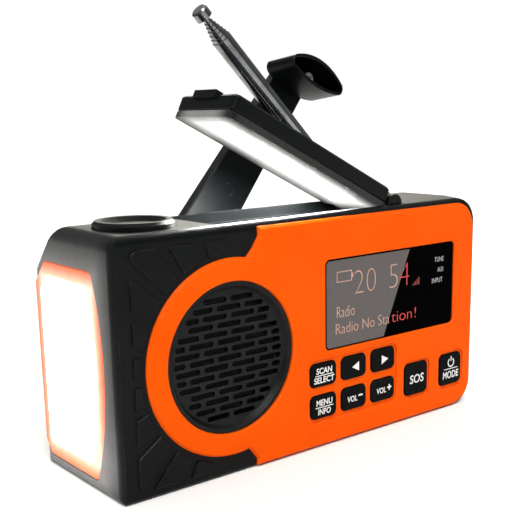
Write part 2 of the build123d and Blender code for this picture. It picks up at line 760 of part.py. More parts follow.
with BuildPart() as lamp_switch:
    add(post(SWITCH_X, SWITCH_Y, SWITCH_R, 78.8, 84.6))
    chamfer(lamp_switch.edges().filter_by(GeomType.CIRCLE).group_by(Axis.Z)[-1], 0.9)
    add(post(SWITCH_X, SWITCH_Y, SWITCH_R + 1.2, 77.4, 78.8))
    with BuildSketch(Plane.XY.offset(84.7)):
        with Locations((SWITCH_X, SWITCH_Y)):
            Circle(SWITCH_R - 2.6)
    extrude(amount=-1.6, taper=45, mode=Mode.SUBTRACT)

finish(lamp_switch, "lamp_switch")


# ---- sockets and their flap on the right end -------------------------------------
with BuildPart() as port_block:
    add(block((LEFT + 153, PORT_WALL - 0.1), (23, 45), (8.5, 24.5)))
    add(block((PORT_WALL - 0.2, PORT_WALL + 2.2), (26.8, 41.2), (10.8, 22.2)))
    add(block((PORT_WALL - 6, PORT_WALL + 3), (27.6, 40.4), (15.9, 21.2)), mode=Mode.SUBTRACT)
    add(block((PORT_WALL - 6, PORT_WALL + 1), (28.4, 39.6), (18.9, 20.6)))
    with BuildSketch(Plane.YZ.offset(PORT_WALL - 4)):
        with Locations((FRONT + 34, 13.3)):
            SlotOverall(8.6, 2.8)
    extrude(amount=7, mode=Mode.SUBTRACT)

finish(port_block, "port_block")

with BuildPart() as port_cover:
    with BuildSketch(Plane.XZ.offset(-FRONT - FLAP_DEPTHS[0] - 0.3)):
        with Locations((FLAP_AXIS_X, FLAP_AXIS_Z)):
            Circle(0.9)
        with Locations((FLAP_AXIS_X, (FLAP_AXIS_Z + FLAP_HEIGHTS[1] - 0.3) / 2)):
            Rectangle(1.8, FLAP_HEIGHTS[1] - 0.3 - FLAP_AXIS_Z)
    extrude(amount=-(FLAP_DEPTHS[1] - FLAP_DEPTHS[0] - 0.6))
    add(rod(FLAP_AXIS_X, FLAP_AXIS_Z, 0.5, FLAP_DEPTHS[0] - 0.4, FLAP_DEPTHS[1] + 0.4))
    with BuildSketch(Plane.YZ.offset(RIGHT + 0.1)):
        with Locations((FRONT + sum(FLAP_DEPTHS) / 2, FLAP_HEIGHTS[1] - 2.4)):
            SlotOverall(9, 2.2)
    extrude(amount=-0.9, mode=Mode.SUBTRACT)

finish(port_cover, "port_cover")


# ---- lid with the reading lamp: modelled shut, then raised --------------------------
LID_LEFT = HINGE_X - PANEL_LENGTH
LID_DEPTHS = (PANEL_FRONT - FRONT, PANEL_FRONT - FRONT + PANEL_DEPTH)
LID_MIDDLE = sum(LID_DEPTHS) / 2
LATCH_DEPTHS = (LID_MIDDLE - 5.1, LID_MIDDLE + 7.0)
LID_LOW = HINGE_Z - PANEL_THICK / 2
LID_TOP = HINGE_Z + PANEL_THICK / 2
LID_SPLIT = LID_LOW + 2.4
LENS_X = (LEFT + 46, LEFT + 111)
LENS_DEPTHS = (LID_MIDDLE - 7, LID_MIDDLE + 7)
CELL_X = (LEFT + 44, LEFT + 112)
BARREL_DEPTHS = (EARS[0][1] + 0.3, EARS[1][0] - 0.3)


def lid_plate(right, low, high):
    """A plate with the lid's plan: rounded corners at the free end."""
    with BuildPart() as part:
        add(block((LID_LEFT, right), LID_DEPTHS, (low, high)))
        fillet(part.edges().filter_by(Axis.Z).group_by(Axis.X)[0], 2.2)
    return part.part


def grown(span, amount):
    """A span made longer by this amount at both ends."""
    return (span[0] - amount, span[1] + amount)


with BuildPart() as panel_base:
    add(lid_plate(LEFT + 116, LID_LOW, LID_SPLIT))
    chamfer(panel_base.faces().sort_by(Axis.Z)[-1].outer_wire().edges(), 0.35)
    add(block((LEFT + 115.8, HINGE_X), BARREL_DEPTHS, (LID_LOW, LID_TOP)))
    add(rod(HINGE_X, HINGE_Z, PANEL_THICK / 2, *BARREL_DEPTHS))
    add(rod(HINGE_X, HINGE_Z, PIN_R + 0.05, 0, 40), mode=Mode.SUBTRACT)
    add(block(LENS_X, LENS_DEPTHS, (LID_LOW - 1, LID_SPLIT + 1)), mode=Mode.SUBTRACT)
    rim = block(grown(LENS_X, 1.2), grown(LENS_DEPTHS, 1.2), (LID_LOW + 1.1, LID_SPLIT + 1))
    add(rim, mode=Mode.SUBTRACT)

finish(panel_base, "panel_base", (PANEL_AXIS, PANEL_ANGLE))

with BuildPart() as panel_cover:
    add(lid_plate(LEFT + 115.5, LID_SPLIT + 0.1, LID_TOP))
    chamfer(panel_cover.faces().sort_by(Axis.Z)[0].outer_wire().edges(), 0.35)
    chamfer(panel_cover.faces().sort_by(Axis.Z)[-1].outer_wire().edges(), 0.8)
    add(block((LID_LEFT - 0.9, LID_LEFT + 2.2), LATCH_DEPTHS, (LID_TOP - 1.6, LID_TOP + 1.1)))
    add(block(CELL_X, grown(LID_DEPTHS, -4.0), (LID_TOP - 1.3, LID_TOP + 2)), mode=Mode.SUBTRACT)
    hollow = block(grown(LENS_X, 2.0), grown(LENS_DEPTHS, 2.0), (LID_SPLIT, LID_SPLIT + 2.4))
    add(hollow, mode=Mode.SUBTRACT)

finish(panel_cover, "panel_cover", (PANEL_AXIS, PANEL_ANGLE))

with BuildPart() as solar_cell:
    add(block(grown(CELL_X, -0.2), grown(LID_DEPTHS, -4.2), (LID_TOP - 1.3, LID_TOP - 0.2)))

finish(solar_cell, "solar_cell", (PANEL_AXIS, PANEL_ANGLE))

with BuildPart() as lamp_lens:
    add(block(grown(LENS_X, -0.15), grown(LENS_DEPTHS, -0.15), (LID_LOW - 0.2, LID_LOW + 1.2)))
    chamfer(lamp_lens.faces().sort_by(Axis.Z)[0].edges(), 0.5)
    add(block(grown(LENS_X, 1.0), grown(LENS_DEPTHS, 1.0), (LID_LOW + 1.1, LID_LOW + 2.2)))

finish(lamp_lens, "lamp_lens", (PANEL_AXIS, PANEL_ANGLE))

with BuildPart() as lamp_board:
    add(block(grown(LENS_X, 1.0), grown(LENS_DEPTHS, 1.0), (LID_SPLIT + 0.9, LID_SPLIT + 2.0)))
    with BuildSketch(Plane.XY.offset(LID_SPLIT + 0.1)):
        with Locations((sum(LENS_X) / 2, PANEL_MID_Y)):
            with GridLocations(7.6, 6.0, 8, 2):
                Rectangle(2.8, 2.8)
    extrude(amount=0.9)

finish(lamp_board, "lamp_board", (PANEL_AXIS, PANEL_ANGLE))

with BuildPart() as panel_hinge_pin:
    add(rod(HINGE_X, HINGE_Z, PIN_R, 5.2, 36.7))

finish(panel_hinge_pin, "panel_hinge_pin")


# ---- hand crank: modelled folded flat along +X, then raised and leaned out ----------
KNUCKLE_R = 2.6
TONGUE = 9.4
ARM_FACE = 56.0           # depth of the arm's face next to the body when folded
ARM_START = 13.5
HUB_DEPTHS = (55.6, 61.0)
KNOB_X = CRANK_X + ARM_REACH

with BuildPart() as crank_bush:
    add(rod(CRANK_X, CRANK_Z, BUSH_R, 42, 55.2))
    add(rod(CRANK_X, CRANK_Z, SHAFT_R + 0.05, 40, 56), mode=Mode.SUBTRACT)

finish(crank_bush, "crank_bush")

with BuildPart() as crank_shaft:
    add(rod(CRANK_X, CRANK_Z, SHAFT_R, 35.6, 58.4))
    chamfer(crank_shaft.faces().sort_by(Axis.Y)[0].edges(), 0.4)

finish(crank_shaft, "crank_shaft")

with BuildPart() as crank_hub:
    add(rod(CRANK_X, CRANK_Z, HUB_R, *HUB_DEPTHS))
    chamfer(crank_hub.faces().sort_by(Axis.Y)[-1].edges(), 0.6)
    with BuildSketch(Plane.XY.offset(CRANK_Z - 7.6)):
        with Locations((CRANK_X + CRANK_PIN, CRANK_PIN_Y)):
            Circle(KNUCKLE_R)
        with Locations((CRANK_X + CRANK_PIN, CRANK_PIN_Y - 1.5)):
            Rectangle(2 * KNUCKLE_R, 3)
    extrude(amount=15.2)
    add(block((CRANK_X + 5.6, CRANK_X + 14), (50, 66), (CRANK_Z - 5, CRANK_Z + 5)), mode=Mode.SUBTRACT)
    add(post(CRANK_X + CRANK_PIN, CRANK_PIN_Y, 1.0, 40, 76), mode=Mode.SUBTRACT)
    add(rod(CRANK_X, CRANK_Z, SHAFT_R, 55, 58.4), mode=Mode.SUBTRACT)

finish(crank_hub, "crank_hub", (CRANK_AXIS, ARM_RAISE))

with BuildPart() as crank_hinge_pin:
    add(post(CRANK_X + CRANK_PIN, CRANK_PIN_Y, 1.0, CRANK_Z - 7.5, CRANK_Z + 7.5))

finish(crank_hinge_pin, "crank_hinge_pin", (CRANK_AXIS, ARM_RAISE))

with BuildPart() as crank_arm:
    with BuildSketch(facing_front(ARM_FACE + ARM_THICK)):
        with BuildLine():
            Polyline(
                (CRANK_X + ARM_START, CRANK_Z - 11),
                (KNOB_X, CRANK_Z - 8.5),
                (KNOB_X, CRANK_Z + 8.5),
                (CRANK_X + ARM_START, CRANK_Z + 11),
                close=True,
            )
        make_face()
        with Locations((KNOB_X, CRANK_Z)):
            Circle(8.5)
    extrude(amount=ARM_THICK)
    chamfer(crank_arm.faces().filter_by(Axis.Y).edges(), 0.5)
    add(block(
        (CRANK_X + CRANK_PIN - 1, CRANK_X + ARM_START + 1),
        (ARM_FACE, ARM_FACE + ARM_THICK),
        (CRANK_Z - TONGUE / 2, CRANK_Z + TONGUE / 2),
    ))
    tongue = (CRANK_Z - TONGUE / 2, CRANK_Z + TONGUE / 2)
    add(post(CRANK_X + CRANK_PIN, CRANK_PIN_Y, KNUCKLE_R, *tongue))
    add(post(CRANK_X + CRANK_PIN, CRANK_PIN_Y, 1.05, 40, 76), mode=Mode.SUBTRACT)
    add(rod(KNOB_X, CRANK_Z, 1.5, 50, 65), mode=Mode.SUBTRACT)
    add(rod(CRANK_X + 41, CRANK_Z, 2.4, 50, ARM_FACE + 0.6), mode=Mode.SUBTRACT)

finish(crank_arm, "crank_arm", (FLIP_AXIS, ARM_LEAN), (CRANK_AXIS, ARM_RAISE))


def knob_outline(inset, depth):
    """The knob's section, where two arcs meet: a long oval, bowed more on the +X side."""
    half = KNOB_HALF + KNOB_TIP - inset
    bulge = KNOB_BULGE - inset
    flat = KNOB_FLAT - inset
    bulge_r = (half**2 + bulge**2) / (2 * bulge)
    flat_r = (half**2 + flat**2) / (2 * flat)
    with BuildSketch(facing_front(depth)) as sketch:
        with Locations((KNOB_X + bulge - bulge_r, CRANK_Z)):
            Circle(bulge_r)
        with Locations((KNOB_X - flat + flat_r, CRANK_Z)):
            Circle(flat_r, mode=Mode.INTERSECT)
        fillet(sketch.vertices(), KNOB_ROUND - inset)
    return sketch.sketch


KNOB_AXIS = Axis((KNOB_X, 0, CRANK_Z), (0, -1, 0))
KNOB_TURN = -22.4         # turned from across the arm, degrees

with BuildPart() as crank_knob:
    extrude(knob_outline(0, ARM_FACE - 0.3), amount=KNOB_LENGTH)
    extrude(knob_outline(1.5, ARM_FACE - 2.3), amount=KNOB_LENGTH, mode=Mode.SUBTRACT)
    chamfer(crank_knob.faces().sort_by(Axis.Y)[0].edges(), 0.2)
    add(rod(KNOB_X, CRANK_Z, 3.2, ARM_FACE - 8.3, ARM_FACE - 0.3))
    add(rod(KNOB_X, CRANK_Z, 1.55, 30, 60), mode=Mode.SUBTRACT)

finish(
    crank_knob, "crank_knob",
    (KNOB_AXIS, -KNOB_TURN), (FLIP_AXIS, ARM_LEAN), (CRANK_AXIS, ARM_RAISE),
)

with BuildPart() as knob_screw:
    add(rod(KNOB_X, CRANK_Z, 1.5, ARM_FACE - 8.6, ARM_FACE + ARM_THICK - 0.6))
    add(rod(KNOB_X, CRANK_Z, 2.5, ARM_FACE - 10.0, ARM_FACE - 8.6))
    with BuildSketch(facing_front(ARM_FACE - 9.3)):
        with Locations((KNOB_X, CRANK_Z)):
            Rectangle(3.0, 0.7)
            Rectangle(0.7, 3.0)
    extrude(amount=2, mode=Mode.SUBTRACT)

finish(knob_screw, "knob_screw", (FLIP_AXIS, ARM_LEAN), (CRANK_AXIS, ARM_RAISE))


# ---- gears from the crank to the dynamo --------------------------------------------
PRESSURE = radians(20)
ADDENDUM = 0.75 * GEAR_MODULE
DEDENDUM = 1.0 * GEAR_MODULE
CRANK_TO_IDLER = radians(-40)
IDLER_TO_PINION = radians(-20)


def centre_distance(a, b):
    """Distance between the axes of two gears with these numbers of teeth."""
    return GEAR_MODULE * (a + b) / 2


IDLER_X = CRANK_X + centre_distance(CRANK_TEETH, IDLER_SMALL) * cos(CRANK_TO_IDLER)
IDLER_Z = CRANK_Z + centre_distance(CRANK_TEETH, IDLER_SMALL) * sin(CRANK_TO_IDLER)
PINION_X = IDLER_X + centre_distance(IDLER_LARGE, PINION_TEETH) * cos(IDLER_TO_PINION)
PINION_Z = IDLER_Z + centre_distance(IDLER_LARGE, PINION_TEETH) * sin(IDLER_TO_PINION)


def half_angle(teeth, radius):
    """Half the angle that one tooth covers at this radius: an involute above the base circle."""
    pitch = GEAR_MODULE * teeth / 2
    base = pitch * cos(PRESSURE)
    swing = acos(min(1.0, base / radius))
    below = max(0.0, base - radius) * 0.22 / radius
    half = (pi * GEAR_MODULE / 2 - BACKLASH) / 2 / pitch
    return half + (tan(PRESSURE) - PRESSURE) - (tan(swing) - swing) - below


def gear(teeth, x, z, tooth_at, start, end):
    """A spur gear between two depths, with one tooth centred on this direction."""
    pitch = GEAR_MODULE * teeth / 2
    base = pitch * cos(PRESSURE)
    root = pitch - DEDENDUM
    tip = pitch + ADDENDUM
    first = max(root, base)
    radii = [root] if root < base else []
    radii += [first, first + (tip - first) * 0.35, first + (tip - first) * 0.7, tip]
    points = []
    for i in range(teeth):
        middle = tooth_at + 2 * pi * i / teeth
        flank = [(r, half_angle(teeth, r)) for r in radii]
        for r, half in flank:
            points.append((x + r * cos(middle - half), z + r * sin(middle - half)))
        for r, half in reversed(flank):
            points.append((x + r * cos(middle + half), z + r * sin(middle + half)))
    with BuildPart() as part:
        with BuildSketch(facing_front(end)):
            with BuildLine():
                Polyline(*points, close=True)
            make_face()
        extrude(amount=end - start)
    return part.part


with BuildPart() as crank_gear:
    add(gear(CRANK_TEETH, CRANK_X, CRANK_Z, CRANK_TO_IDLER, 36.0, 39.5))
    add(rod(CRANK_X, CRANK_Z, 6.0, 39.5, 41.6))
    add(rod(CRANK_X, CRANK_Z, SHAFT_R, 30, 45), mode=Mode.SUBTRACT)

finish(crank_gear, "crank_gear")

with BuildPart() as idler_gear:
    add(gear(IDLER_LARGE, IDLER_X, IDLER_Z, IDLER_TO_PINION, 32.0, 35.0))
    tooth_gap = CRANK_TO_IDLER + pi + pi / IDLER_SMALL
    add(gear(IDLER_SMALL, IDLER_X, IDLER_Z, tooth_gap, 35.0, 39.4))
    add(rod(IDLER_X, IDLER_Z, 1.55, 30, 45), mode=Mode.SUBTRACT)

finish(idler_gear, "idler_gear")

with BuildPart() as dynamo_pinion:
    tooth_gap = IDLER_TO_PINION + pi + pi / PINION_TEETH
    add(gear(PINION_TEETH, PINION_X, PINION_Z, tooth_gap, 31.6, 35.4))
    add(rod(PINION_X, PINION_Z, 1.2, 22.2, 36.4))

finish(dynamo_pinion, "dynamo_pinion")

with BuildPart() as dynamo:
    add(rod(PINION_X, PINION_Z, 12.0, 15.2, 28.3))
    chamfer(dynamo.edges(), 0.8)
    add(rod(PINION_X, PINION_Z, 3.8, 28.3, 31.0))
    add(rod(PINION_X, PINION_Z, 1.25, 22, 32), mode=Mode.SUBTRACT)

finish(dynamo, "dynamo")

BRACKET_POSTS = [(LEFT + 62, 29), (LEFT + 94, 56), (LEFT + 107, 31)]

with BuildPart() as gear_bracket:
    with BuildSketch(facing_front(30.5)):
        with BuildLine():
            Polyline(
                (LEFT + 60, 26), (LEFT + 109, 26), (LEFT + 109, 36), (LEFT + 98, 59),
                (LEFT + 90, 59), (LEFT + 60, 47), close=True,
            )
        make_face()
        with Locations((PINION_X, PINION_Z)):
            Circle(4.0, mode=Mode.SUBTRACT)
    extrude(amount=2.0)
    add(rod(IDLER_X, IDLER_Z, 1.5, 30.4, 40.4))
    for x, z in BRACKET_POSTS:
        add(rod(x, z, 2.5, 30.4, DEPTH - WALL))

finish(gear_bracket, "gear_bracket")


# ---- telescopic antenna: modelled upright, then leaned to the left ------------------
TURRET_TOP = 73.4
TUBE_START = 10.0         # distances along the antenna are from its pivot
TUBE_END = 92.3
STEP_OUT = 1.56
CAP_R = 3.1


def tube(outer, inner, start, end):
    """A tube, or a rod when inner is zero, along the upright antenna."""
    with BuildPart() as part:
        with BuildSketch(Plane.XY.offset(ANTENNA_Z + start)):
            with Locations((ANTENNA_X, ANTENNA_Y)):
                Circle(outer)
                if inner:
                    Circle(inner, mode=Mode.SUBTRACT)
        extrude(amount=end - start)
    return part.part


with BuildPart() as antenna_socket:
    add(tube(SOCKET_R, 2.05, 62.2 - ANTENNA_Z, TURRET_FLOOR - 0.2 - ANTENNA_Z))

finish(antenna_socket, "antenna_socket")

with BuildPart() as antenna_turret:
    add(tube(2.0, 0, 61.6 - ANTENNA_Z, TURRET_FLOOR + 0.4 - ANTENNA_Z))
    add(tube(5.3, 0, TURRET_FLOOR + 0.3 - ANTENNA_Z, TURRET_TOP - ANTENNA_Z))
    with BuildSketch(Plane.XZ.offset(-ANTENNA_Y - 4.2)):
        with Locations((ANTENNA_X, ANTENNA_Z)):
            Circle(3.0)
        with Locations((ANTENNA_X, (ANTENNA_Z + TURRET_TOP - 0.2) / 2)):
            Rectangle(6.0, ANTENNA_Z - TURRET_TOP + 0.2)
    extrude(amount=8.4)
    with Locations((ANTENNA_X, ANTENNA_Y, TURRET_TOP + 5)):
        Box(12, 4.4, 10, mode=Mode.SUBTRACT)
    with BuildSketch(Plane.XZ.offset(-ANTENNA_Y - 5)):
        with Locations((ANTENNA_X, ANTENNA_Z)):
            Circle(1.05)
    extrude(amount=10, mode=Mode.SUBTRACT)

finish(antenna_turret, "antenna_turret")

with BuildPart() as antenna_knuckle:
    with BuildSketch(Plane.XZ.offset(-ANTENNA_Y - 2)):
        with Locations((ANTENNA_X, ANTENNA_Z)):
            Circle(3.0)
        with Locations((ANTENNA_X, ANTENNA_Z + 3.6)):
            Rectangle(6.0, 7.2)
    extrude(amount=4)
    with BuildSketch(Plane.XZ.offset(-ANTENNA_Y - 4.1)):
        with Locations((ANTENNA_X, ANTENNA_Z)):
            Circle(1.0)
    extrude(amount=8.2)
    add(tube(ANTENNA_R, 0, 7.0, TUBE_START))
    add(tube(ANTENNA_R - TUBE_WALL, 0, TUBE_START, TUBE_START + 6))

finish(antenna_knuckle, "antenna_knuckle", (ANTENNA_TILT_AXIS, ANTENNA_LEAN))

for i in range(SECTIONS):
    outer = ANTENNA_R - i * ANTENNA_STEP
    inner = 0 if i == SECTIONS - 1 else outer - TUBE_WALL
    start = TUBE_START if i == 0 else TUBE_START + 7.2 + 0.4 * i
    end = TUBE_END + i * STEP_OUT
    with BuildPart() as section:
        add(tube(outer, inner, start, end))
        if i == SECTIONS - 1:
            add(tube(outer, 0, end - 1, end + 0.5))
            add(tube(CAP_R, 0, end + 0.44, end + 4.2))
            chamfer(section.edges().group_by(Axis.Z)[-1], 0.6)
    finish(section, f"antenna_section_{i + 1}", (ANTENNA_TILT_AXIS, ANTENNA_LEAN))
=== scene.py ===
import json
from math import cos, pi, radians, sin

import bmesh
import bpy
from mathutils import Matrix, Vector


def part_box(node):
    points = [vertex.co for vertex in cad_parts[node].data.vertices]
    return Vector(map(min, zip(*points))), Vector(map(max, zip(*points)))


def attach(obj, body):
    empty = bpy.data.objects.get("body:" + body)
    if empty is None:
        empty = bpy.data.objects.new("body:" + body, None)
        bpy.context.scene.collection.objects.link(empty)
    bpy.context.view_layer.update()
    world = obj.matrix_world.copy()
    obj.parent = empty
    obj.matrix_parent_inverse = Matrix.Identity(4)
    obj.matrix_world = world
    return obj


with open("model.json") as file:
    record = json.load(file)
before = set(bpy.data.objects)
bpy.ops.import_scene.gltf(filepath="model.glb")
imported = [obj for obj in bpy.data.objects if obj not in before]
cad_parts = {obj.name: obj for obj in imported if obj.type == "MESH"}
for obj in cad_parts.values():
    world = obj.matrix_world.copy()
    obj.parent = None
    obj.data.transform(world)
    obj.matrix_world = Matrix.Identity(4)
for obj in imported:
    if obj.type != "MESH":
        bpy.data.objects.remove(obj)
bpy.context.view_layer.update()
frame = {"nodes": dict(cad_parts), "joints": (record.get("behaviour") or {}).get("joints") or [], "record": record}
nodes = frame["nodes"]
scene = bpy.context.scene
MM = 0.001


# ---- camera, light and floor -------------------------------------------------------
HORIZON_TINT = (0.16, 0.175, 0.2, 1)
HALFWAY_TINT = (0.34, 0.345, 0.35, 1)
OVERHEAD_TINT = (1.0, 0.97, 0.9, 1)
DOME_LEVEL = 1.0
FLOOR_RADIUS = 12.0
FLOOR_SIDES = 64
FLOOR_DROP = 0.0003         # keeps the floor's face just clear of the base's face


def make_camera():
    data = bpy.data.cameras.new("camera")
    data.lens = 65.2
    data.sensor_width = 36.0
    data.shift_x = 0.0024
    data.shift_y = 0.1113
    data.clip_start = 0.01
    data.clip_end = 100.0
    data.dof.use_dof = False
    camera = bpy.data.objects.new("camera", data)
    camera.location = (-0.21335, -0.25794, 0.11734)
    camera.rotation_euler = (radians(77.579), radians(1.157), radians(-38.265))
    scene.collection.objects.link(camera)
    scene.camera = camera


def soft_sun(name, toward, strength, tint, spread):
    """A broad, distant lamp, as a large softbox far away gives. The spread is in degrees."""
    data = bpy.data.lights.new(name, "SUN")
    data.energy = strength
    data.color = tint
    data.angle = radians(spread)
    light = bpy.data.objects.new(name, data)
    light.rotation_euler = Vector(toward).to_track_quat("-Z", "Y").to_euler()
    scene.collection.objects.link(light)


def make_world():
    """A white backdrop for the view, and a dome that is bright above and dim at the horizon."""
    world = bpy.data.worlds.new("studio")
    world.use_nodes = True
    tree = world.node_tree
    dome = tree.nodes["Background"]
    coords = tree.nodes.new("ShaderNodeTexCoord")
    split = tree.nodes.new("ShaderNodeSeparateXYZ")
    ramp = tree.nodes.new("ShaderNodeValToRGB")
    tree.links.new(coords.outputs["Generated"], split.inputs["Vector"])
    tree.links.new(split.outputs["Z"], ramp.inputs["Fac"])
    tree.links.new(ramp.outputs["Color"], dome.inputs["Color"])
    low, high = ramp.color_ramp.elements
    low.position = 0.1
    low.color = HORIZON_TINT
    high.position = 0.85
    high.color = OVERHEAD_TINT
    halfway = ramp.color_ramp.elements.new(0.5)
    halfway.color = HALFWAY_TINT
    dome.inputs["Strength"].default_value = DOME_LEVEL
    backdrop = tree.nodes.new("ShaderNodeBackground")
    rays = tree.nodes.new("ShaderNodeLightPath")
    choose = tree.nodes.new("ShaderNodeMixShader")
    tree.links.new(rays.outputs["Is Camera Ray"], choose.inputs[0])
    tree.links.new(dome.outputs[0], choose.inputs[1])
    tree.links.new(backdrop.outputs[0], choose.inputs[2])
    backdrop.inputs["Color"].default_value = (1, 1, 1, 1)
    tree.links.new(choose.outputs[0], tree.nodes["World Output"].inputs["Surface"])
    scene.world = world


def make_floor():
    """A pale disc, wide enough for its rim to stay out of sight."""
    mesh = bpy.data.meshes.new("floor")
    turns = [2 * pi * i / FLOOR_SIDES for i in range(FLOOR_SIDES)]
    ring = [(FLOOR_RADIUS * cos(turn), FLOOR_RADIUS * sin(turn), -FLOOR_DROP) for turn in turns]
    mesh.from_pydata(ring, [], [list(range(FLOOR_SIDES))])
    floor = bpy.data.objects.new("floor", mesh)
    scene.collection.objects.link(floor)
    material = bpy.data.materials.new("floor")
    material.use_nodes = True
    shader = material.node_tree.nodes["Principled BSDF"]
    shader.inputs["Base Color"].default_value = (0.97, 0.97, 0.97, 1)
    shader.inputs["Roughness"].default_value = 0.8
    shader.inputs["Specular IOR Level"].default_value = 0.0
    mesh.materials.append(material)


make_camera()
make_world()
make_floor()
soft_sun("key", toward=(0.30, 0.62, -1.0), strength=2.3, tint=(1.0, 0.985, 0.95), spread=32)
soft_sun("rim", toward=(-0.60, -0.77, -0.46), strength=0.8, tint=(1.0, 0.96, 0.82), spread=30)
scene.view_settings.view_transform = "Standard"
scene.view_settings.look = "None"


# ---- shader helpers ----------------------------------------------------------------
WEAR_RADIUS = 0.0005        # how near an edge a surface has to be to look rubbed
PATCH_SCALE = 260.0         # the patches that break up the rubbed edges
PAINTED_GLOW_CURVE = 2.2           # above 1, the painted glow round a lamp falls off faster close to the lamp


def centre_of(box):
    low, high = box
    return (low + high) / 2


class Shader:
    """A Principled material with short calls for the textures that feed it."""

    def __init__(self, name):
        self.material = bpy.data.materials.new(name)
        self.material.use_nodes = True
        self.tree = self.material.node_tree
        self.bsdf = self.tree.nodes["Principled BSDF"]
        self.coords = self.add("ShaderNodeTexCoord").outputs["Object"]

    def add(self, kind, **settings):
        node = self.tree.nodes.new(kind)
        for key, value in settings.items():
            setattr(node, key, value)
        return node

    def join(self, source, target):
        self.tree.links.new(source, target)

    def feed(self, value, target):
        """A fixed number is set on the socket, and a texture's output is joined to it."""
        if isinstance(value, (int, float)):
            target.default_value = value
        else:
            self.join(value, target)

    def constant(self, **values):
        for key, value in values.items():
            self.bsdf.inputs[key.replace("_", " ")].default_value = value

    def stretched(self, scale):
        mapping = self.add("ShaderNodeMapping")
        mapping.inputs["Scale"].default_value = scale
        self.join(self.coords, mapping.inputs["Vector"])
        return mapping.outputs["Vector"]

    def noise(self, scale, detail=4.0, rough=0.6, vector=None):
        node = self.add("ShaderNodeTexNoise")
        node.inputs["Scale"].default_value = scale
        node.inputs["Detail"].default_value = detail
        node.inputs["Roughness"].default_value = rough
        self.join(vector or self.coords, node.inputs["Vector"])
        return node.outputs["Fac"]

    def voronoi(self, scale):
        node = self.add("ShaderNodeTexVoronoi")
        node.inputs["Scale"].default_value = scale
        self.join(self.coords, node.inputs["Vector"])
        return node.outputs["Distance"]

    def bands(self, scale, direction):
        """Even stripes across one direction, X or Z."""
        node = self.add("ShaderNodeTexWave", wave_type="BANDS", bands_direction=direction)
        node.inputs["Scale"].default_value = scale
        self.join(self.coords, node.inputs["Vector"])
        return node.outputs["Fac"]

    def span(self, value, low, high, to_low=0.0, to_high=1.0):
        """The value's stretch from low to high, mapped to the stretch from to_low to to_high."""
        node = self.add("ShaderNodeMapRange", clamp=True)
        for index, number in enumerate((low, high, to_low, to_high)):
            node.inputs[index + 1].default_value = number
        self.join(value, node.inputs["Value"])
        return node.outputs["Result"]

    def math(self, operation, a, b):
        node = self.add("ShaderNodeMath", operation=operation)
        self.feed(a, node.inputs[0])
        self.feed(b, node.inputs[1])
        return node.outputs["Value"]

    def blend(self, factor, a, b):
        node = self.add("ShaderNodeMix", data_type="RGBA")
        self.join(factor, node.inputs["Factor"])
        for value, socket in ((a, node.inputs[6]), (b, node.inputs[7])):
            if isinstance(value, tuple):
                socket.default_value = (*value, 1.0)
            else:
                self.join(value, socket)
        return node.outputs[2]

    def edges(self, radius, low=0.04, high=0.3):
        """How sharply the surface turns within this radius: high along edges."""
        bevel = self.add("ShaderNodeBevel", samples=4)
        bevel.inputs["Radius"].default_value = radius
        dot = self.add("ShaderNodeVectorMath", operation="DOT_PRODUCT")
        self.join(bevel.outputs["Normal"], dot.inputs[0])
        self.join(self.add("ShaderNodeNewGeometry").outputs["Normal"], dot.inputs[1])
        return self.span(self.math("SUBTRACT", 1.0, dot.outputs["Value"]), low, high)

    def worn(self):
        """Edge wear broken up by patches."""
        patches = self.span(self.noise(PATCH_SCALE, detail=5.0, rough=0.7), 0.42, 0.66)
        return self.math("MULTIPLY", self.edges(WEAR_RADIUS), patches)

    def bump(self, height, strength, distance):
        node = self.add("ShaderNodeBump")
        node.inputs["Strength"].default_value = strength
        node.inputs["Distance"].default_value = distance
        self.join(height, node.inputs["Height"])
        self.join(node.outputs["Normal"], self.bsdf.inputs["Normal"])

    def hot_middle(self, centre, stretch, near, far, bright, dim):
        """A lamp face's light: bright round its centre, dim towards its rim.
        Distances are measured after the stretch, so that a long face fades evenly."""
        away = self.add("ShaderNodeVectorMath", operation="DISTANCE")
        self.join(self.stretched(stretch), away.inputs[0])
        away.inputs[1].default_value = [a * b for a, b in zip(centre, stretch)]
        return self.span(away.outputs["Value"], near, far, bright, dim)

    def painted_glow(self, middle, half, reach, tint, strength, turn=0.0):
        """Painted glow on the plastic round a lamp, as emission, strongest at the lamp's edge.
        The lamp is a box given by its middle and half its sides, turned about Y."""
        spun = Matrix.Rotation(turn, 3, "Y")
        place = self.add("ShaderNodeMapping")
        place.inputs["Rotation"].default_value = (0.0, turn, 0.0)
        place.inputs["Location"].default_value = -(spun @ Vector(middle))
        self.join(self.coords, place.inputs["Vector"])
        value = place.outputs["Vector"]     # next, how far outside the box each point is
        for operation, other in (("ABSOLUTE", None), ("SUBTRACT", half), ("MAXIMUM", (0, 0, 0))):
            node = self.add("ShaderNodeVectorMath", operation=operation)
            self.join(value, node.inputs[0])
            if other:
                node.inputs[1].default_value = other
            value = node.outputs["Vector"]
        length = self.add("ShaderNodeVectorMath", operation="LENGTH")
        self.join(value, length.inputs[0])
        near = self.span(length.outputs["Value"], 0.0, reach, 1.0, 0.0)
        cloudy = self.span(self.noise(300.0), 0.3, 0.7, 0.85, 1.0)
        falloff = self.math("MULTIPLY", self.math("POWER", near, PAINTED_GLOW_CURVE), strength)
        self.glow(tint, self.math("MULTIPLY", falloff, cloudy))

    def glow(self, tint, strength):
        self.bsdf.inputs["Emission Color"].default_value = (*tint, 1.0)
        self.feed(strength, self.bsdf.inputs["Emission Strength"])

    def color(self, value):
        self.join(value, self.bsdf.inputs["Base Color"])

    def roughness(self, value):
        self.join(value, self.bsdf.inputs["Roughness"])


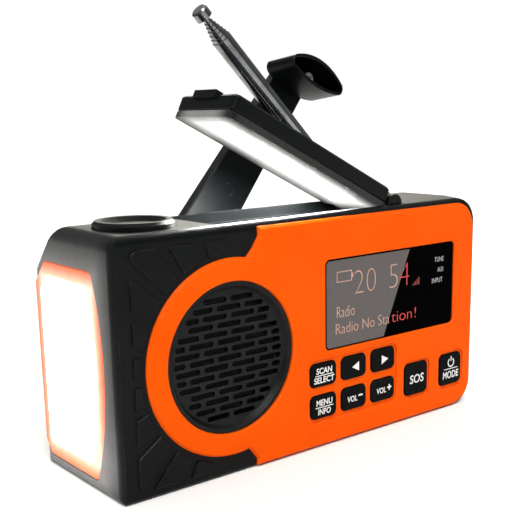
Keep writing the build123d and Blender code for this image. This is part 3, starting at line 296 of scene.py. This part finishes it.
# ---- families of material --------------------------------------------------------------
def plastic(name, dark, light, edge, rough, grain, depth, gloss=0.3, lamp=None):
    """Moulded plastic: faint clouding, spark-eroded grain, paler worn edges, handled patches.
    Grain is the texture's scale and depth its height in metres. Lamp says where a glow round a lamp is painted in,
    as emission."""
    s = Shader(name)
    clouds = s.span(s.noise(38.0, detail=5.0), 0.3, 0.72)
    base = s.blend(clouds, dark, light)
    s.color(s.blend(s.worn(), base, edge))
    handled = s.span(s.noise(55.0, detail=6.0, rough=0.7), 0.32, 0.7, rough - 0.06, rough + 0.07)
    polished = s.span(s.worn(), 0, 1, 0, 0.08)
    s.roughness(s.math("SUBTRACT", handled, polished))
    fine = s.noise(grain, detail=3.0, rough=0.7)
    cells = s.voronoi(grain * 0.45)
    s.bump(s.math("ADD", fine, s.math("MULTIPLY", cells, 0.6)), strength=0.35, distance=depth)
    s.constant(IOR=1.48, Specular_IOR_Level=gloss)
    # painted glow: emission round a lamp, on plastic that is no lamp
    if lamp:
        s.painted_glow(**lamp)
    return s.material


def metal(name, dark, light, rough, stretch, depth):
    """Turned or polished metal: fine lines, stretched along the part, and smudges."""
    s = Shader(name)
    lines = s.noise(900.0, vector=s.stretched(stretch))
    smudge = s.span(s.noise(70.0, detail=6.0, rough=0.7), 0.35, 0.72)
    s.color(s.blend(smudge, light, dark))
    s.constant(Metallic=1.0)
    smeared = s.span(smudge, 0, 1, rough, rough * 1.8)
    s.roughness(s.math("ADD", smeared, s.span(lines, 0.3, 0.7, 0, 0.05)))
    s.bump(lines, strength=0.25, distance=depth)
    return s.material


def printed(name, tint, glow=0.0):
    """Ink or lit segments: thin, slightly uneven."""
    s = Shader(name)
    patch = s.noise(1800.0, detail=3.0)
    faded = tuple(c * 0.82 for c in tint)
    s.color(s.blend(s.span(patch, 0.35, 0.65), faded, tint))
    s.roughness(s.span(patch, 0.3, 0.7, 0.4, 0.55))
    s.bump(patch, strength=0.2, distance=0.00001)
    if glow:
        s.glow(tint, glow)
    return s.material


def circuit_board():
    """Green board with a grid of traces under the mask."""
    s = Shader("circuit_board")
    s.constant(IOR=1.5)
    traces = s.add("ShaderNodeTexBrick")
    traces.inputs["Scale"].default_value = 320.0
    traces.inputs["Mortar Size"].default_value = 0.03
    s.join(s.coords, traces.inputs["Vector"])
    s.color(s.blend(traces.outputs["Fac"], (0.012, 0.1, 0.035), (0.03, 0.2, 0.08)))
    s.roughness(s.span(s.noise(400.0), 0.3, 0.7, 0.3, 0.45))
    s.bump(traces.outputs["Fac"], strength=0.4, distance=0.00003)
    return s.material


def solar_glass():
    """Dark blue cells with silver fingers under a clear coat."""
    s = Shader("solar_glass")
    grains = s.voronoi(700.0)
    blue = s.blend(s.span(grains, 0.0, 0.6), (0.004, 0.008, 0.03), (0.012, 0.022, 0.075))
    fingers = s.span(s.bands(110.0, "X"), 0.93, 0.99)
    s.color(s.blend(fingers, blue, (0.3, 0.31, 0.34)))
    s.roughness(s.span(s.noise(300.0), 0.3, 0.7, 0.25, 0.38))
    s.constant(Coat_Weight=0.8, Coat_Roughness=0.06)
    s.bump(grains, strength=0.1, distance=0.00002)
    return s.material


def dark_window():
    """Polished dark acrylic with faint swirls from wiping."""
    s = Shader("dark_window")
    swirls = s.noise(500.0, detail=6.0, rough=0.75, vector=s.stretched((1.0, 1.0, 3.0)))
    s.color(s.blend(s.span(swirls, 0.3, 0.7), (0.001, 0.0009, 0.001), (0.002, 0.0017, 0.002)))
    s.roughness(s.span(swirls, 0.3, 0.75, 0.06, 0.13))
    s.constant(IOR=1.35, Specular_IOR_Level=0.0)
    s.bump(swirls, strength=0.08, distance=0.000004)
    return s.material


def display_glass():
    """Near-black glass of the display behind the window."""
    s = Shader("display_glass")
    grain = s.noise(1500.0, detail=2.0)
    s.color(s.blend(grain, (0.003, 0.003, 0.0035), (0.008, 0.007, 0.007)))
    s.roughness(s.span(grain, 0.3, 0.7, 0.2, 0.3))
    s.bump(grain, strength=0.1, distance=0.00001)
    return s.material


def clear_lens():
    """Clear ribbed torch lens, lit from behind."""
    s = Shader("clear_lens")
    ribs = s.bands(140.0, "Z")
    s.color(s.blend(ribs, (0.86, 0.88, 0.9), (0.97, 0.98, 1.0)))
    level = s.hot_middle(
        centre_of(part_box("torch_lens")), stretch=(1.0, 34.0, 24.0),
        near=0.1, far=0.95, bright=30.0, dim=8.0)
    s.glow((1.0, 0.985, 0.97), s.math("MULTIPLY", level, s.span(ribs, 0, 1, 0.9, 1.0)))
    s.roughness(s.span(s.noise(600.0), 0.3, 0.7, 0.08, 0.16))
    s.bump(ribs, strength=0.5, distance=0.0002)
    return s.material


def lamp_diffuser():
    """The reading lamp's frosted face, lit from behind."""
    s = Shader("lamp_diffuser")
    s.constant(Roughness=0.25, IOR=1.49)
    frost = s.noise(1400.0, detail=2.0, rough=0.5)
    s.color(s.blend(frost, (0.85, 0.87, 0.9), (0.95, 0.96, 0.98)))
    level = s.hot_middle(
        centre_of(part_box("lamp_lens")), stretch=(24.0, 40.0, 24.0),
        near=0.2, far=1.0, bright=190.0, dim=85.0)
    s.glow((1.0, 0.99, 0.96), s.math("MULTIPLY", level, s.span(frost, 0.3, 0.7, 0.92, 1.0)))
    s.bump(frost, strength=0.2, distance=0.00003)
    return s.material


# ---- finishes ------------------------------------------------------------------------------
PANEL_ANGLE = 26.5          # degrees that the lid stands open at rest
EVEN = (1.0, 1.0, 1.0)      # lines stretched along no axis
BLACK_LOOK = {
    "dark": (0.0018, 0.0024, 0.0028), "light": (0.0042, 0.0052, 0.0058), "edge": (0.05, 0.05, 0.048),
    "rough": 0.36, "grain": 1700.0, "depth": 0.00006,
}
ORANGE_LOOK = {
    "dark": (0.80, 0.083, 0.0005), "light": (0.86, 0.096, 0.0008), "edge": (1.0, 0.30, 0.07),
    "rough": 0.4, "grain": 1500.0, "depth": 0.00004,
}

BLACK = plastic("black_plastic", **BLACK_LOOK, gloss=0.1)
ORANGE = plastic("orange_plastic", **ORANGE_LOOK, gloss=0.03)
GRILLE = plastic(
    "grille_plastic", dark=(0.0022, 0.0030, 0.0036), light=(0.0046, 0.0058, 0.0066),
    edge=(0.04, 0.043, 0.046), rough=0.42, grain=1900.0, depth=0.00006, gloss=0.16)
KEY = plastic(
    "key_rubber", dark=(0.0026, 0.0037, 0.0037), light=(0.0050, 0.0066, 0.0066),
    edge=(0.035, 0.038, 0.04), rough=0.6, grain=2300.0, depth=0.00004, gloss=0.03)
MAT = plastic(
    "mat_rubber", dark=(0.2, 0.2, 0.21), light=(0.27, 0.27, 0.28),
    edge=(0.36, 0.36, 0.36), rough=0.62, grain=1800.0, depth=0.00004)
NYLON = plastic(
    "gear_nylon", dark=(0.66, 0.63, 0.55), light=(0.76, 0.73, 0.66),
    edge=(0.85, 0.83, 0.78), rough=0.45, grain=1200.0, depth=0.00003)
PAPER = plastic(
    "speaker_paper", dark=(0.010, 0.010, 0.011), light=(0.02, 0.02, 0.022),
    edge=(0.05, 0.05, 0.05), rough=0.85, grain=900.0, depth=0.0001)
FERRITE = plastic(
    "magnet_ferrite", dark=(0.03, 0.03, 0.033), light=(0.05, 0.05, 0.054),
    edge=(0.1, 0.1, 0.1), rough=0.7, grain=1100.0, depth=0.00008)
CELL = plastic(
    "cell_wrap", dark=(0.02, 0.1, 0.3), light=(0.03, 0.14, 0.4),
    edge=(0.1, 0.25, 0.5), rough=0.3, grain=600.0, depth=0.00002)

CHROME = metal(
    "antenna_chrome", dark=(0.07, 0.074, 0.075), light=(0.30, 0.31, 0.31),
    rough=0.1, stretch=EVEN, depth=0.000006)
REFLECTOR = metal(
    "reflector_chrome", dark=(0.72, 0.73, 0.75), light=(0.92, 0.93, 0.95),
    rough=0.06, stretch=EVEN, depth=0.000004)
STEEL = metal(
    "steel", dark=(0.3, 0.3, 0.31), light=(0.56, 0.56, 0.57),
    rough=0.3, stretch=(1.0, 0.08, 1.0), depth=0.00001)
SCREW = metal(
    "screw_steel", dark=(0.22, 0.22, 0.23), light=(0.45, 0.45, 0.46),
    rough=0.34, stretch=(1.0, 0.2, 1.0), depth=0.00001)
BLUED = metal(
    "blued_steel", dark=(0.012, 0.012, 0.014), light=(0.03, 0.03, 0.033),
    rough=0.4, stretch=(1.0, 0.2, 1.0), depth=0.00001)
BRASS = metal(
    "brass_bush", dark=(0.5, 0.36, 0.15), light=(0.78, 0.6, 0.29),
    rough=0.28, stretch=(1.0, 0.1, 1.0), depth=0.00001)

WHITE_INK = printed("white_ink", (0.86, 0.87, 0.88))
PEACH = printed("display_peach", (0.5, 0.29, 0.22), glow=0.2)
RED_TEXT = printed("display_red", (0.42, 0.035, 0.03), glow=0.45)
DIM_RED = printed("display_dim_red", (0.22, 0.03, 0.025), glow=0.3)
LABEL_INK = printed("display_label", (0.42, 0.42, 0.43))
# Painted reflection: a grey area printed on the display glass that stands for a reflection.
PAINTED_REFLECTION_GREY = printed("display_painted_reflection", (0.088, 0.078, 0.078))

TORCH_MIDDLE = centre_of(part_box("torch_lens"))
# Painted glow: the torch bezel, the tub's left end and the lid's base glow round their lamps, as emission painted
# in their materials.
BEZEL_PAINTED_GLOW = plastic("bezel_painted_glow", **ORANGE_LOOK, gloss=0.05, lamp={
    "middle": TORCH_MIDDLE, "half": (0.004, 0.0163, 0.0283), "reach": 0.0085,
    "tint": (1.0, 0.72, 0.6), "strength": 1.4,
})
TUB_PAINTED_GLOW = plastic("tub_painted_glow", **BLACK_LOOK, gloss=0.11, lamp={
    "middle": TORCH_MIDDLE, "half": (0.004, 0.0185, 0.0325), "reach": 0.016,
    "tint": (1.0, 0.98, 0.94), "strength": 0.25,
})
LID_PAINTED_GLOW = plastic("lid_painted_glow", **BLACK_LOOK, gloss=0.1, lamp={
    "middle": centre_of(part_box("lamp_lens")), "half": (0.0335, 0.0065, 0.0012), "reach": 0.0115,
    "tint": (1.0, 0.99, 0.96), "strength": 1.3, "turn": radians(-PANEL_ANGLE),
})

SLOT_FINISHES = {
    "orange_plastic": ORANGE,
    "black_plastic": BLACK,
    "grille_plastic": GRILLE,
    "key_rubber": KEY,
    "mat_rubber": MAT,
    "dark_window": dark_window(),
    "display_glass": display_glass(),
    "clear_lens": clear_lens(),
    "lamp_diffuser": lamp_diffuser(),
    "reflector_chrome": REFLECTOR,
    "antenna_chrome": CHROME,
    "steel": STEEL,
    "screw_steel": SCREW,
    "brass_bush": BRASS,
    "gear_nylon": NYLON,
    "circuit_board": circuit_board(),
    "cell_wrap": CELL,
    "speaker_paper": PAPER,
    "magnet_ferrite": FERRITE,
    "solar_glass": solar_glass(),
}
NODE_FINISHES = {           # nodes that differ from their slot's finish
    "torch_bezel": BEZEL_PAINTED_GLOW,
    "rear_housing": TUB_PAINTED_GLOW,
    "panel_base": LID_PAINTED_GLOW,
    "panel_hinge_pin": BLUED,
}
for entry in frame["record"]["subparts"]:
    finish = NODE_FINISHES.get(entry["node"], SLOT_FINISHES[entry["material_slot"]])
    for place in nodes[entry["node"]].material_slots:
        place.material = finish


# ---- small raised shapes and print ---------------------------------------------------------
FACE_LIFT = 0.00001         # how far print stands off the face under it
PRINT_RISE = 0.00006        # thickness of the print on the keys
LETTER_RISE = 0.00003       # half the thickness of raised letters
FONT_TO_CAPITAL = 1.38      # font size for capitals of height 1


def piece(name, mesh, material, body):
    """A finished mesh as an object that rides on a body."""
    mesh.materials.clear()
    mesh.materials.append(material)
    thing = bpy.data.objects.new(name, mesh)
    scene.collection.objects.link(thing)
    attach(thing, body)


def facing_front(x, y, z):
    """Local x to the right, local y up, local z towards the front."""
    return Matrix.Translation((x, y, z)) @ Matrix.Rotation(radians(90), 4, "X")


def word(name, text, place, fit, material, body, shear=0.0, weight=0.0):
    """Raised print: a generic word or number as a thin mesh, fitted to a width and height."""
    curve = bpy.data.curves.new(name, "FONT")
    curve.body = text
    curve.size = fit[1] * FONT_TO_CAPITAL
    curve.extrude = LETTER_RISE
    curve.offset = weight
    curve.shear = shear
    curve.resolution_u = 4
    curve.align_x = "CENTER"
    curve.align_y = "CENTER"
    draft = bpy.data.objects.new(name + "_draft", curve)
    mesh = bpy.data.meshes.new_from_object(draft)
    bpy.data.objects.remove(draft)
    bpy.data.curves.remove(curve)
    xs = [v.co.x for v in mesh.vertices]
    ys = [v.co.y for v in mesh.vertices]
    centre = Vector(((min(xs) + max(xs)) / 2, (min(ys) + max(ys)) / 2, 0))
    for v in mesh.vertices:
        v.co -= centre
        v.co.x *= fit[0] / (max(xs) - min(xs))
        v.co.y *= fit[1] / (max(ys) - min(ys))
    mesh.transform(place)
    piece(name, mesh, material, body)


def flat_shape(name, loops, place, material, body, thick):
    """One or more outlines, in millimetres, made into thin raised plates."""
    bm = bmesh.new()
    for loop in loops:
        bottom = [bm.verts.new((x * MM, y * MM, 0)) for x, y in loop]
        top = [bm.verts.new((x * MM, y * MM, thick)) for x, y in loop]
        bm.faces.new(list(reversed(bottom)))
        bm.faces.new(top)
        count = len(loop)
        for i in range(count):
            j = (i + 1) % count
            bm.faces.new((bottom[i], bottom[j], top[j], top[i]))
    bmesh.ops.recalc_face_normals(bm, faces=bm.faces)
    mesh = bpy.data.meshes.new(name)
    bm.to_mesh(mesh)
    bm.free()
    mesh.transform(place)
    piece(name, mesh, material, body)


def bar(x0, y0, x1, y1):
    return [(x0, y0), (x1, y0), (x1, y1), (x0, y1)]


def arc_band(radius, width, start, end, steps):
    """A curved stroke as quadrilaterals side by side."""
    loops = []
    inner, outer = radius - width / 2, radius + width / 2
    for i in range(steps):
        a = start + (end - start) * i / steps
        b = start + (end - start) * (i + 1) / steps
        loops.append([
            (inner * cos(a), inner * sin(a)), (outer * cos(a), outer * sin(a)),
            (outer * cos(b), outer * sin(b)), (inner * cos(b), inner * sin(b)),
        ])
    return loops


# ---- print on the keys, in millimetres from the middle of each key's face -------------------
SMALL_CAPS = 2.2
LARGE_CAPS = 3.4
MODE_CAPS = 2.9
LINE = 0.3                  # width of the line between two words
LEGEND_SLANT = 0.06
LEGEND_WEIGHT = 0.00006     # how much the strokes are fattened


def key_face(name, dx, dz):
    """The middle of a key's front face, moved by dx and dz millimetres."""
    low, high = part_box("button_" + name)
    x, z = (low.x + high.x) / 2, (low.z + high.z) / 2
    return facing_front(x + dx * MM, low.y - FACE_LIFT, z + dz * MM)


def legend(name, part, text, width, height, dx=0.0, dz=0.0):
    word(f"legend_{name}_{part}", text, key_face(name, dx, dz), (width * MM, height * MM), WHITE_INK,
         "key_" + name, shear=LEGEND_SLANT, weight=LEGEND_WEIGHT)


def mark(name, part, loops, dx=0.0, dz=0.0):
    flat_shape(f"legend_{name}_{part}", loops, key_face(name, dx, dz), WHITE_INK, "key_" + name,
               PRINT_RISE)


def two_words(name, upper, upper_width, lower, lower_width):
    """A small key with a word above and a word below a line."""
    legend(name, "upper", upper, upper_width, SMALL_CAPS, dz=1.55)
    mark(name, "line", [bar(-4.2, -LINE / 2, 4.2, LINE / 2)], dz=-0.1)
    legend(name, "lower", lower, lower_width, SMALL_CAPS, dz=-1.75)


two_words("scan", "SCAN", 7.4, "SELECT", 9.5)
two_words("menu", "MENU", 7.6, "INFO", 6.0)
mark("left", "arrow", [[(1.7, -1.7), (1.7, 1.7), (-1.7, 0.0)]], dx=0.4)
mark("right", "arrow", [[(-1.7, -1.7), (1.7, 0.0), (-1.7, 1.7)]], dx=0.6)
for key in ("volume_down", "volume_up"):
    legend(key, "word", "VOL", 4.8, SMALL_CAPS, dx=-1.1, dz=-0.2)
mark("volume_down", "sign", [bar(1.9, 0.2, 4.0, 0.8)])
mark("volume_up", "sign", [bar(1.9, 0.1, 4.1, 0.7), bar(2.7, 0.7, 3.3, 1.5), bar(2.7, -0.7, 3.3, 0.1)])
legend("sos", "word", "SOS", 7.6, LARGE_CAPS)
mark("power", "ring", arc_band(1.65, 0.5, radians(125), radians(415), 20), dz=2.7)
mark("power", "stroke", [bar(-0.25, 0.6, 0.25, 2.4)], dz=2.7)
mark("power", "line", [bar(-4.0, -LINE / 2, 4.0, LINE / 2)], dz=0.2)
legend("power", "lower", "MODE", 9.2, MODE_CAPS, dz=-2.2)


# ---- display, in millimetres from the window's lower left corner ----------------------------
WINDOW_LOW, WINDOW_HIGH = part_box("display_window")
GLASS_TOP = (WINDOW_HIGH.z - WINDOW_LOW.z) / MM
SHOW_RISE = 0.00003         # thickness of the painted reflection and the signs
TEXT_LIFT = SHOW_RISE       # text and signs are placed at the painted reflection's outer face
# The painted reflection's outline, in millimetres.
REFLECTION_MARGIN = 0.5
REFLECTION_CUT = 1.4             # where the painted reflection's two left corners are cut off
REFLECTION_FOOT = 28.7           # where the painted reflection ends along the glass's bottom edge
REFLECTION_HEAD = 42.0           # and along its top edge
DIGIT_ROW = (18.0, 26.6)
UPPER_ROW = (10.8, 14.8)
LOWER_ROW = (5.0, 8.8)
LABEL_CAPS = 1.8
DIGIT_WEIGHT = -0.00036     # strokes thinned, in metres
TEXT_WEIGHT = -0.00008


def on_window(x, z, lift):
    """A place on the window's face."""
    return facing_front(WINDOW_LOW.x + x * MM, WINDOW_LOW.y - lift, WINDOW_LOW.z + z * MM)


def show(name, loops, material, lift):
    place = on_window(0, 0, lift)
    flat_shape(name, loops, place, material, "radio_body", SHOW_RISE)


def lit(name, text, x, z, material, weight=TEXT_WEIGHT):
    """Display text between two x and two heights."""
    place = on_window(sum(x) / 2, sum(z) / 2, TEXT_LIFT)
    fit = ((x[1] - x[0]) * MM, (z[1] - z[0]) * MM)
    word(name, text, place, fit, material, "radio_body", weight=weight)


def frame_bars(x, z, stroke):
    """Four bars round a rectangle."""
    return [
        bar(x[0], z[0], x[1], z[0] + stroke),
        bar(x[0], z[1] - stroke, x[1], z[1]),
        bar(x[0], z[0] + stroke, x[0] + stroke, z[1] - stroke),
        bar(x[1] - stroke, z[0] + stroke, x[1], z[1] - stroke),
    ]


def paint_reflection():
    """A painted reflection: the brighter grey part of the glass, left of a slanting line."""
    top = GLASS_TOP - REFLECTION_MARGIN
    show("display_painted_reflection", [[
        (REFLECTION_CUT, REFLECTION_MARGIN), (REFLECTION_FOOT, REFLECTION_MARGIN), (REFLECTION_HEAD, top), (REFLECTION_CUT, top),
        (REFLECTION_MARGIN, GLASS_TOP - REFLECTION_CUT), (REFLECTION_MARGIN, REFLECTION_CUT),
    ]], PAINTED_REFLECTION_GREY, lift=0.0)


def battery_sign():
    case = frame_bars((5.3, 12.5), (23.4, 27.2), stroke=0.28)
    tip = bar(12.5, 24.5, 13.2, 26.1)
    show("display_battery", case + [tip], PEACH, TEXT_LIFT)


def signal_sign():
    """Four bars that rise to the right."""
    bars = [bar(44.0 + i, 17.4, 44.5 + i, 18.2 + 0.65 * i) for i in range(4)]
    show("display_signal", bars, DIM_RED, TEXT_LIFT)


paint_reflection()
lit("display_hour", "20", (13.9, 24.4), DIGIT_ROW, PEACH, DIGIT_WEIGHT)
lit("display_minute_tens", "5", (31.3, 35.8), DIGIT_ROW, PEACH, DIGIT_WEIGHT)
lit("display_minute_units", "4", (36.7, 41.9), DIGIT_ROW, RED_TEXT, DIGIT_WEIGHT)
battery_sign()
signal_sign()
lit("display_line_1", "Radio", (5.3, 14.0), UPPER_ROW, PEACH)
lit("display_line_2", "Radio No Sta", (4.8, 31.6), LOWER_ROW, PEACH)
lit("display_line_2_end", "tion", (32.8, 43.6), LOWER_ROW, RED_TEXT)
lit("display_line_2_mark", "!", (45.2, 45.9), (5.0, 8.9), RED_TEXT)
for label, x, z in (("TUNE", (55.8, 61.0), 24.8), ("AUX", (57.6, 61.0), 20.8), ("INPUT", (54.6, 60.6), 16.8)):
    lit("display_label_" + label.lower(), label, x, (z, z + LABEL_CAPS), LABEL_INK, 0.0)


# ---- solar cell, sockets and small fittings --------------------------------------------------
HINGE = Vector(next(j for j in frame["joints"] if j["name"] == "panel_hinge")["pos_m"])
LID_TILT = Matrix.Rotation(radians(PANEL_ANGLE), 4, "Y")
LID_TURN = Matrix.Translation(HINGE) @ LID_TILT @ Matrix.Translation(-HINGE)

# The middle of the solar cell's face, from the hinge, with the lid shut.
CELL_REACH = 0.0428
CELL_RISE = 0.0038

# The bars along the cell and the short tabs across its long edges, in millimetres.
BUS_LENGTH = 65.0
BUS_WIDTH = 0.7
BUS_PITCH = 7.5
TAB_COUNT = 7
TAB_START = -27.5
TAB_PITCH = 9.2
TAB_WIDTH = 0.24
TAB_INNER = 7.9
TAB_OUTER = 10.8

# The socket's contacts, in millimetres.
CONTACT_COUNT = 4
CONTACT_START = -4.2
CONTACT_PITCH = 2.5
CONTACT_WIDTH = 1.0
CONTACT_LENGTH = 0.8

# From here on in metres.
BUS_RISE = 0.00004          # thickness of the bars
CONTACT_RISE = 0.00005      # and of the contacts
CONTACT_DEPTH = 0.0032      # in from the port block's outer face, so behind the tongue's tip
CONTACT_HEIGHT = 0.0106     # up from the port block's underside
RECESS_FLOOR = 0.0781
PIP_PLACES = ((-0.0235, 0.0030), (-0.0055, 0.0030))
PIP_RISE = 0.00007          # from the recess floor to the middle of a stop
PIP_HEIGHT = 0.00025
PIP_FOOT = 0.0009           # radius at its foot
PIP_TOP = 0.0006            # and at its top


def on_lid(x, y, z):
    """A place given with the lid shut, carried to where the lid stands at rest."""
    return LID_TURN @ Matrix.Translation((x, y, z))


def solar_busbars():
    """Three long bars on the solar cell, and a row of short ones along each long edge."""
    loops = []
    for y in (-BUS_PITCH, 0.0, BUS_PITCH):
        loops.append(bar(-BUS_LENGTH / 2, y - BUS_WIDTH / 2, BUS_LENGTH / 2, y + BUS_WIDTH / 2))
    for i in range(TAB_COUNT):
        x = TAB_START + i * TAB_PITCH
        loops.append(bar(x - TAB_WIDTH / 2, -TAB_OUTER, x + TAB_WIDTH / 2, -TAB_INNER))
        loops.append(bar(x - TAB_WIDTH / 2, TAB_INNER, x + TAB_WIDTH / 2, TAB_OUTER))
    place = on_lid(HINGE.x - CELL_REACH, HINGE.y, HINGE.z + CELL_RISE)
    flat_shape("solar_busbars", loops, place, STEEL, "lid", BUS_RISE)


def port_contacts():
    """Gold fingers moulded into the tongue of the larger socket, facing out of the right end."""
    low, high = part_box("port_block")
    starts = [CONTACT_START + i * CONTACT_PITCH for i in range(CONTACT_COUNT)]
    loops = [bar(start, 0, start + CONTACT_WIDTH, CONTACT_LENGTH) for start in starts]
    facing_right = Matrix(((0, 0, 1, 0), (1, 0, 0, 0), (0, 1, 0, 0), (0, 0, 0, 1)))
    tongue = (high.x - CONTACT_DEPTH, (low.y + high.y) / 2, low.z + CONTACT_HEIGHT)
    place = Matrix.Translation(tongue) @ facing_right
    flat_shape("port_contacts", loops, place, BRASS, "radio_body", CONTACT_RISE)


def recess_pips():
    """Two small moulded stops on the floor of the lid's recess."""
    for index, (x, y) in enumerate(PIP_PLACES):
        bm = bmesh.new()
        bmesh.ops.create_cone(
            bm, cap_ends=True, segments=20, radius1=PIP_FOOT, radius2=PIP_TOP, depth=PIP_HEIGHT)
        mesh = bpy.data.meshes.new(f"recess_pip_{index + 1}")
        bm.to_mesh(mesh)
        bm.free()
        mesh.transform(Matrix.Translation((x, y, RECESS_FLOOR + PIP_RISE)))
        piece(f"recess_pip_{index + 1}", mesh, BLACK, "radio_body")


solar_busbars()
port_contacts()
recess_pips()
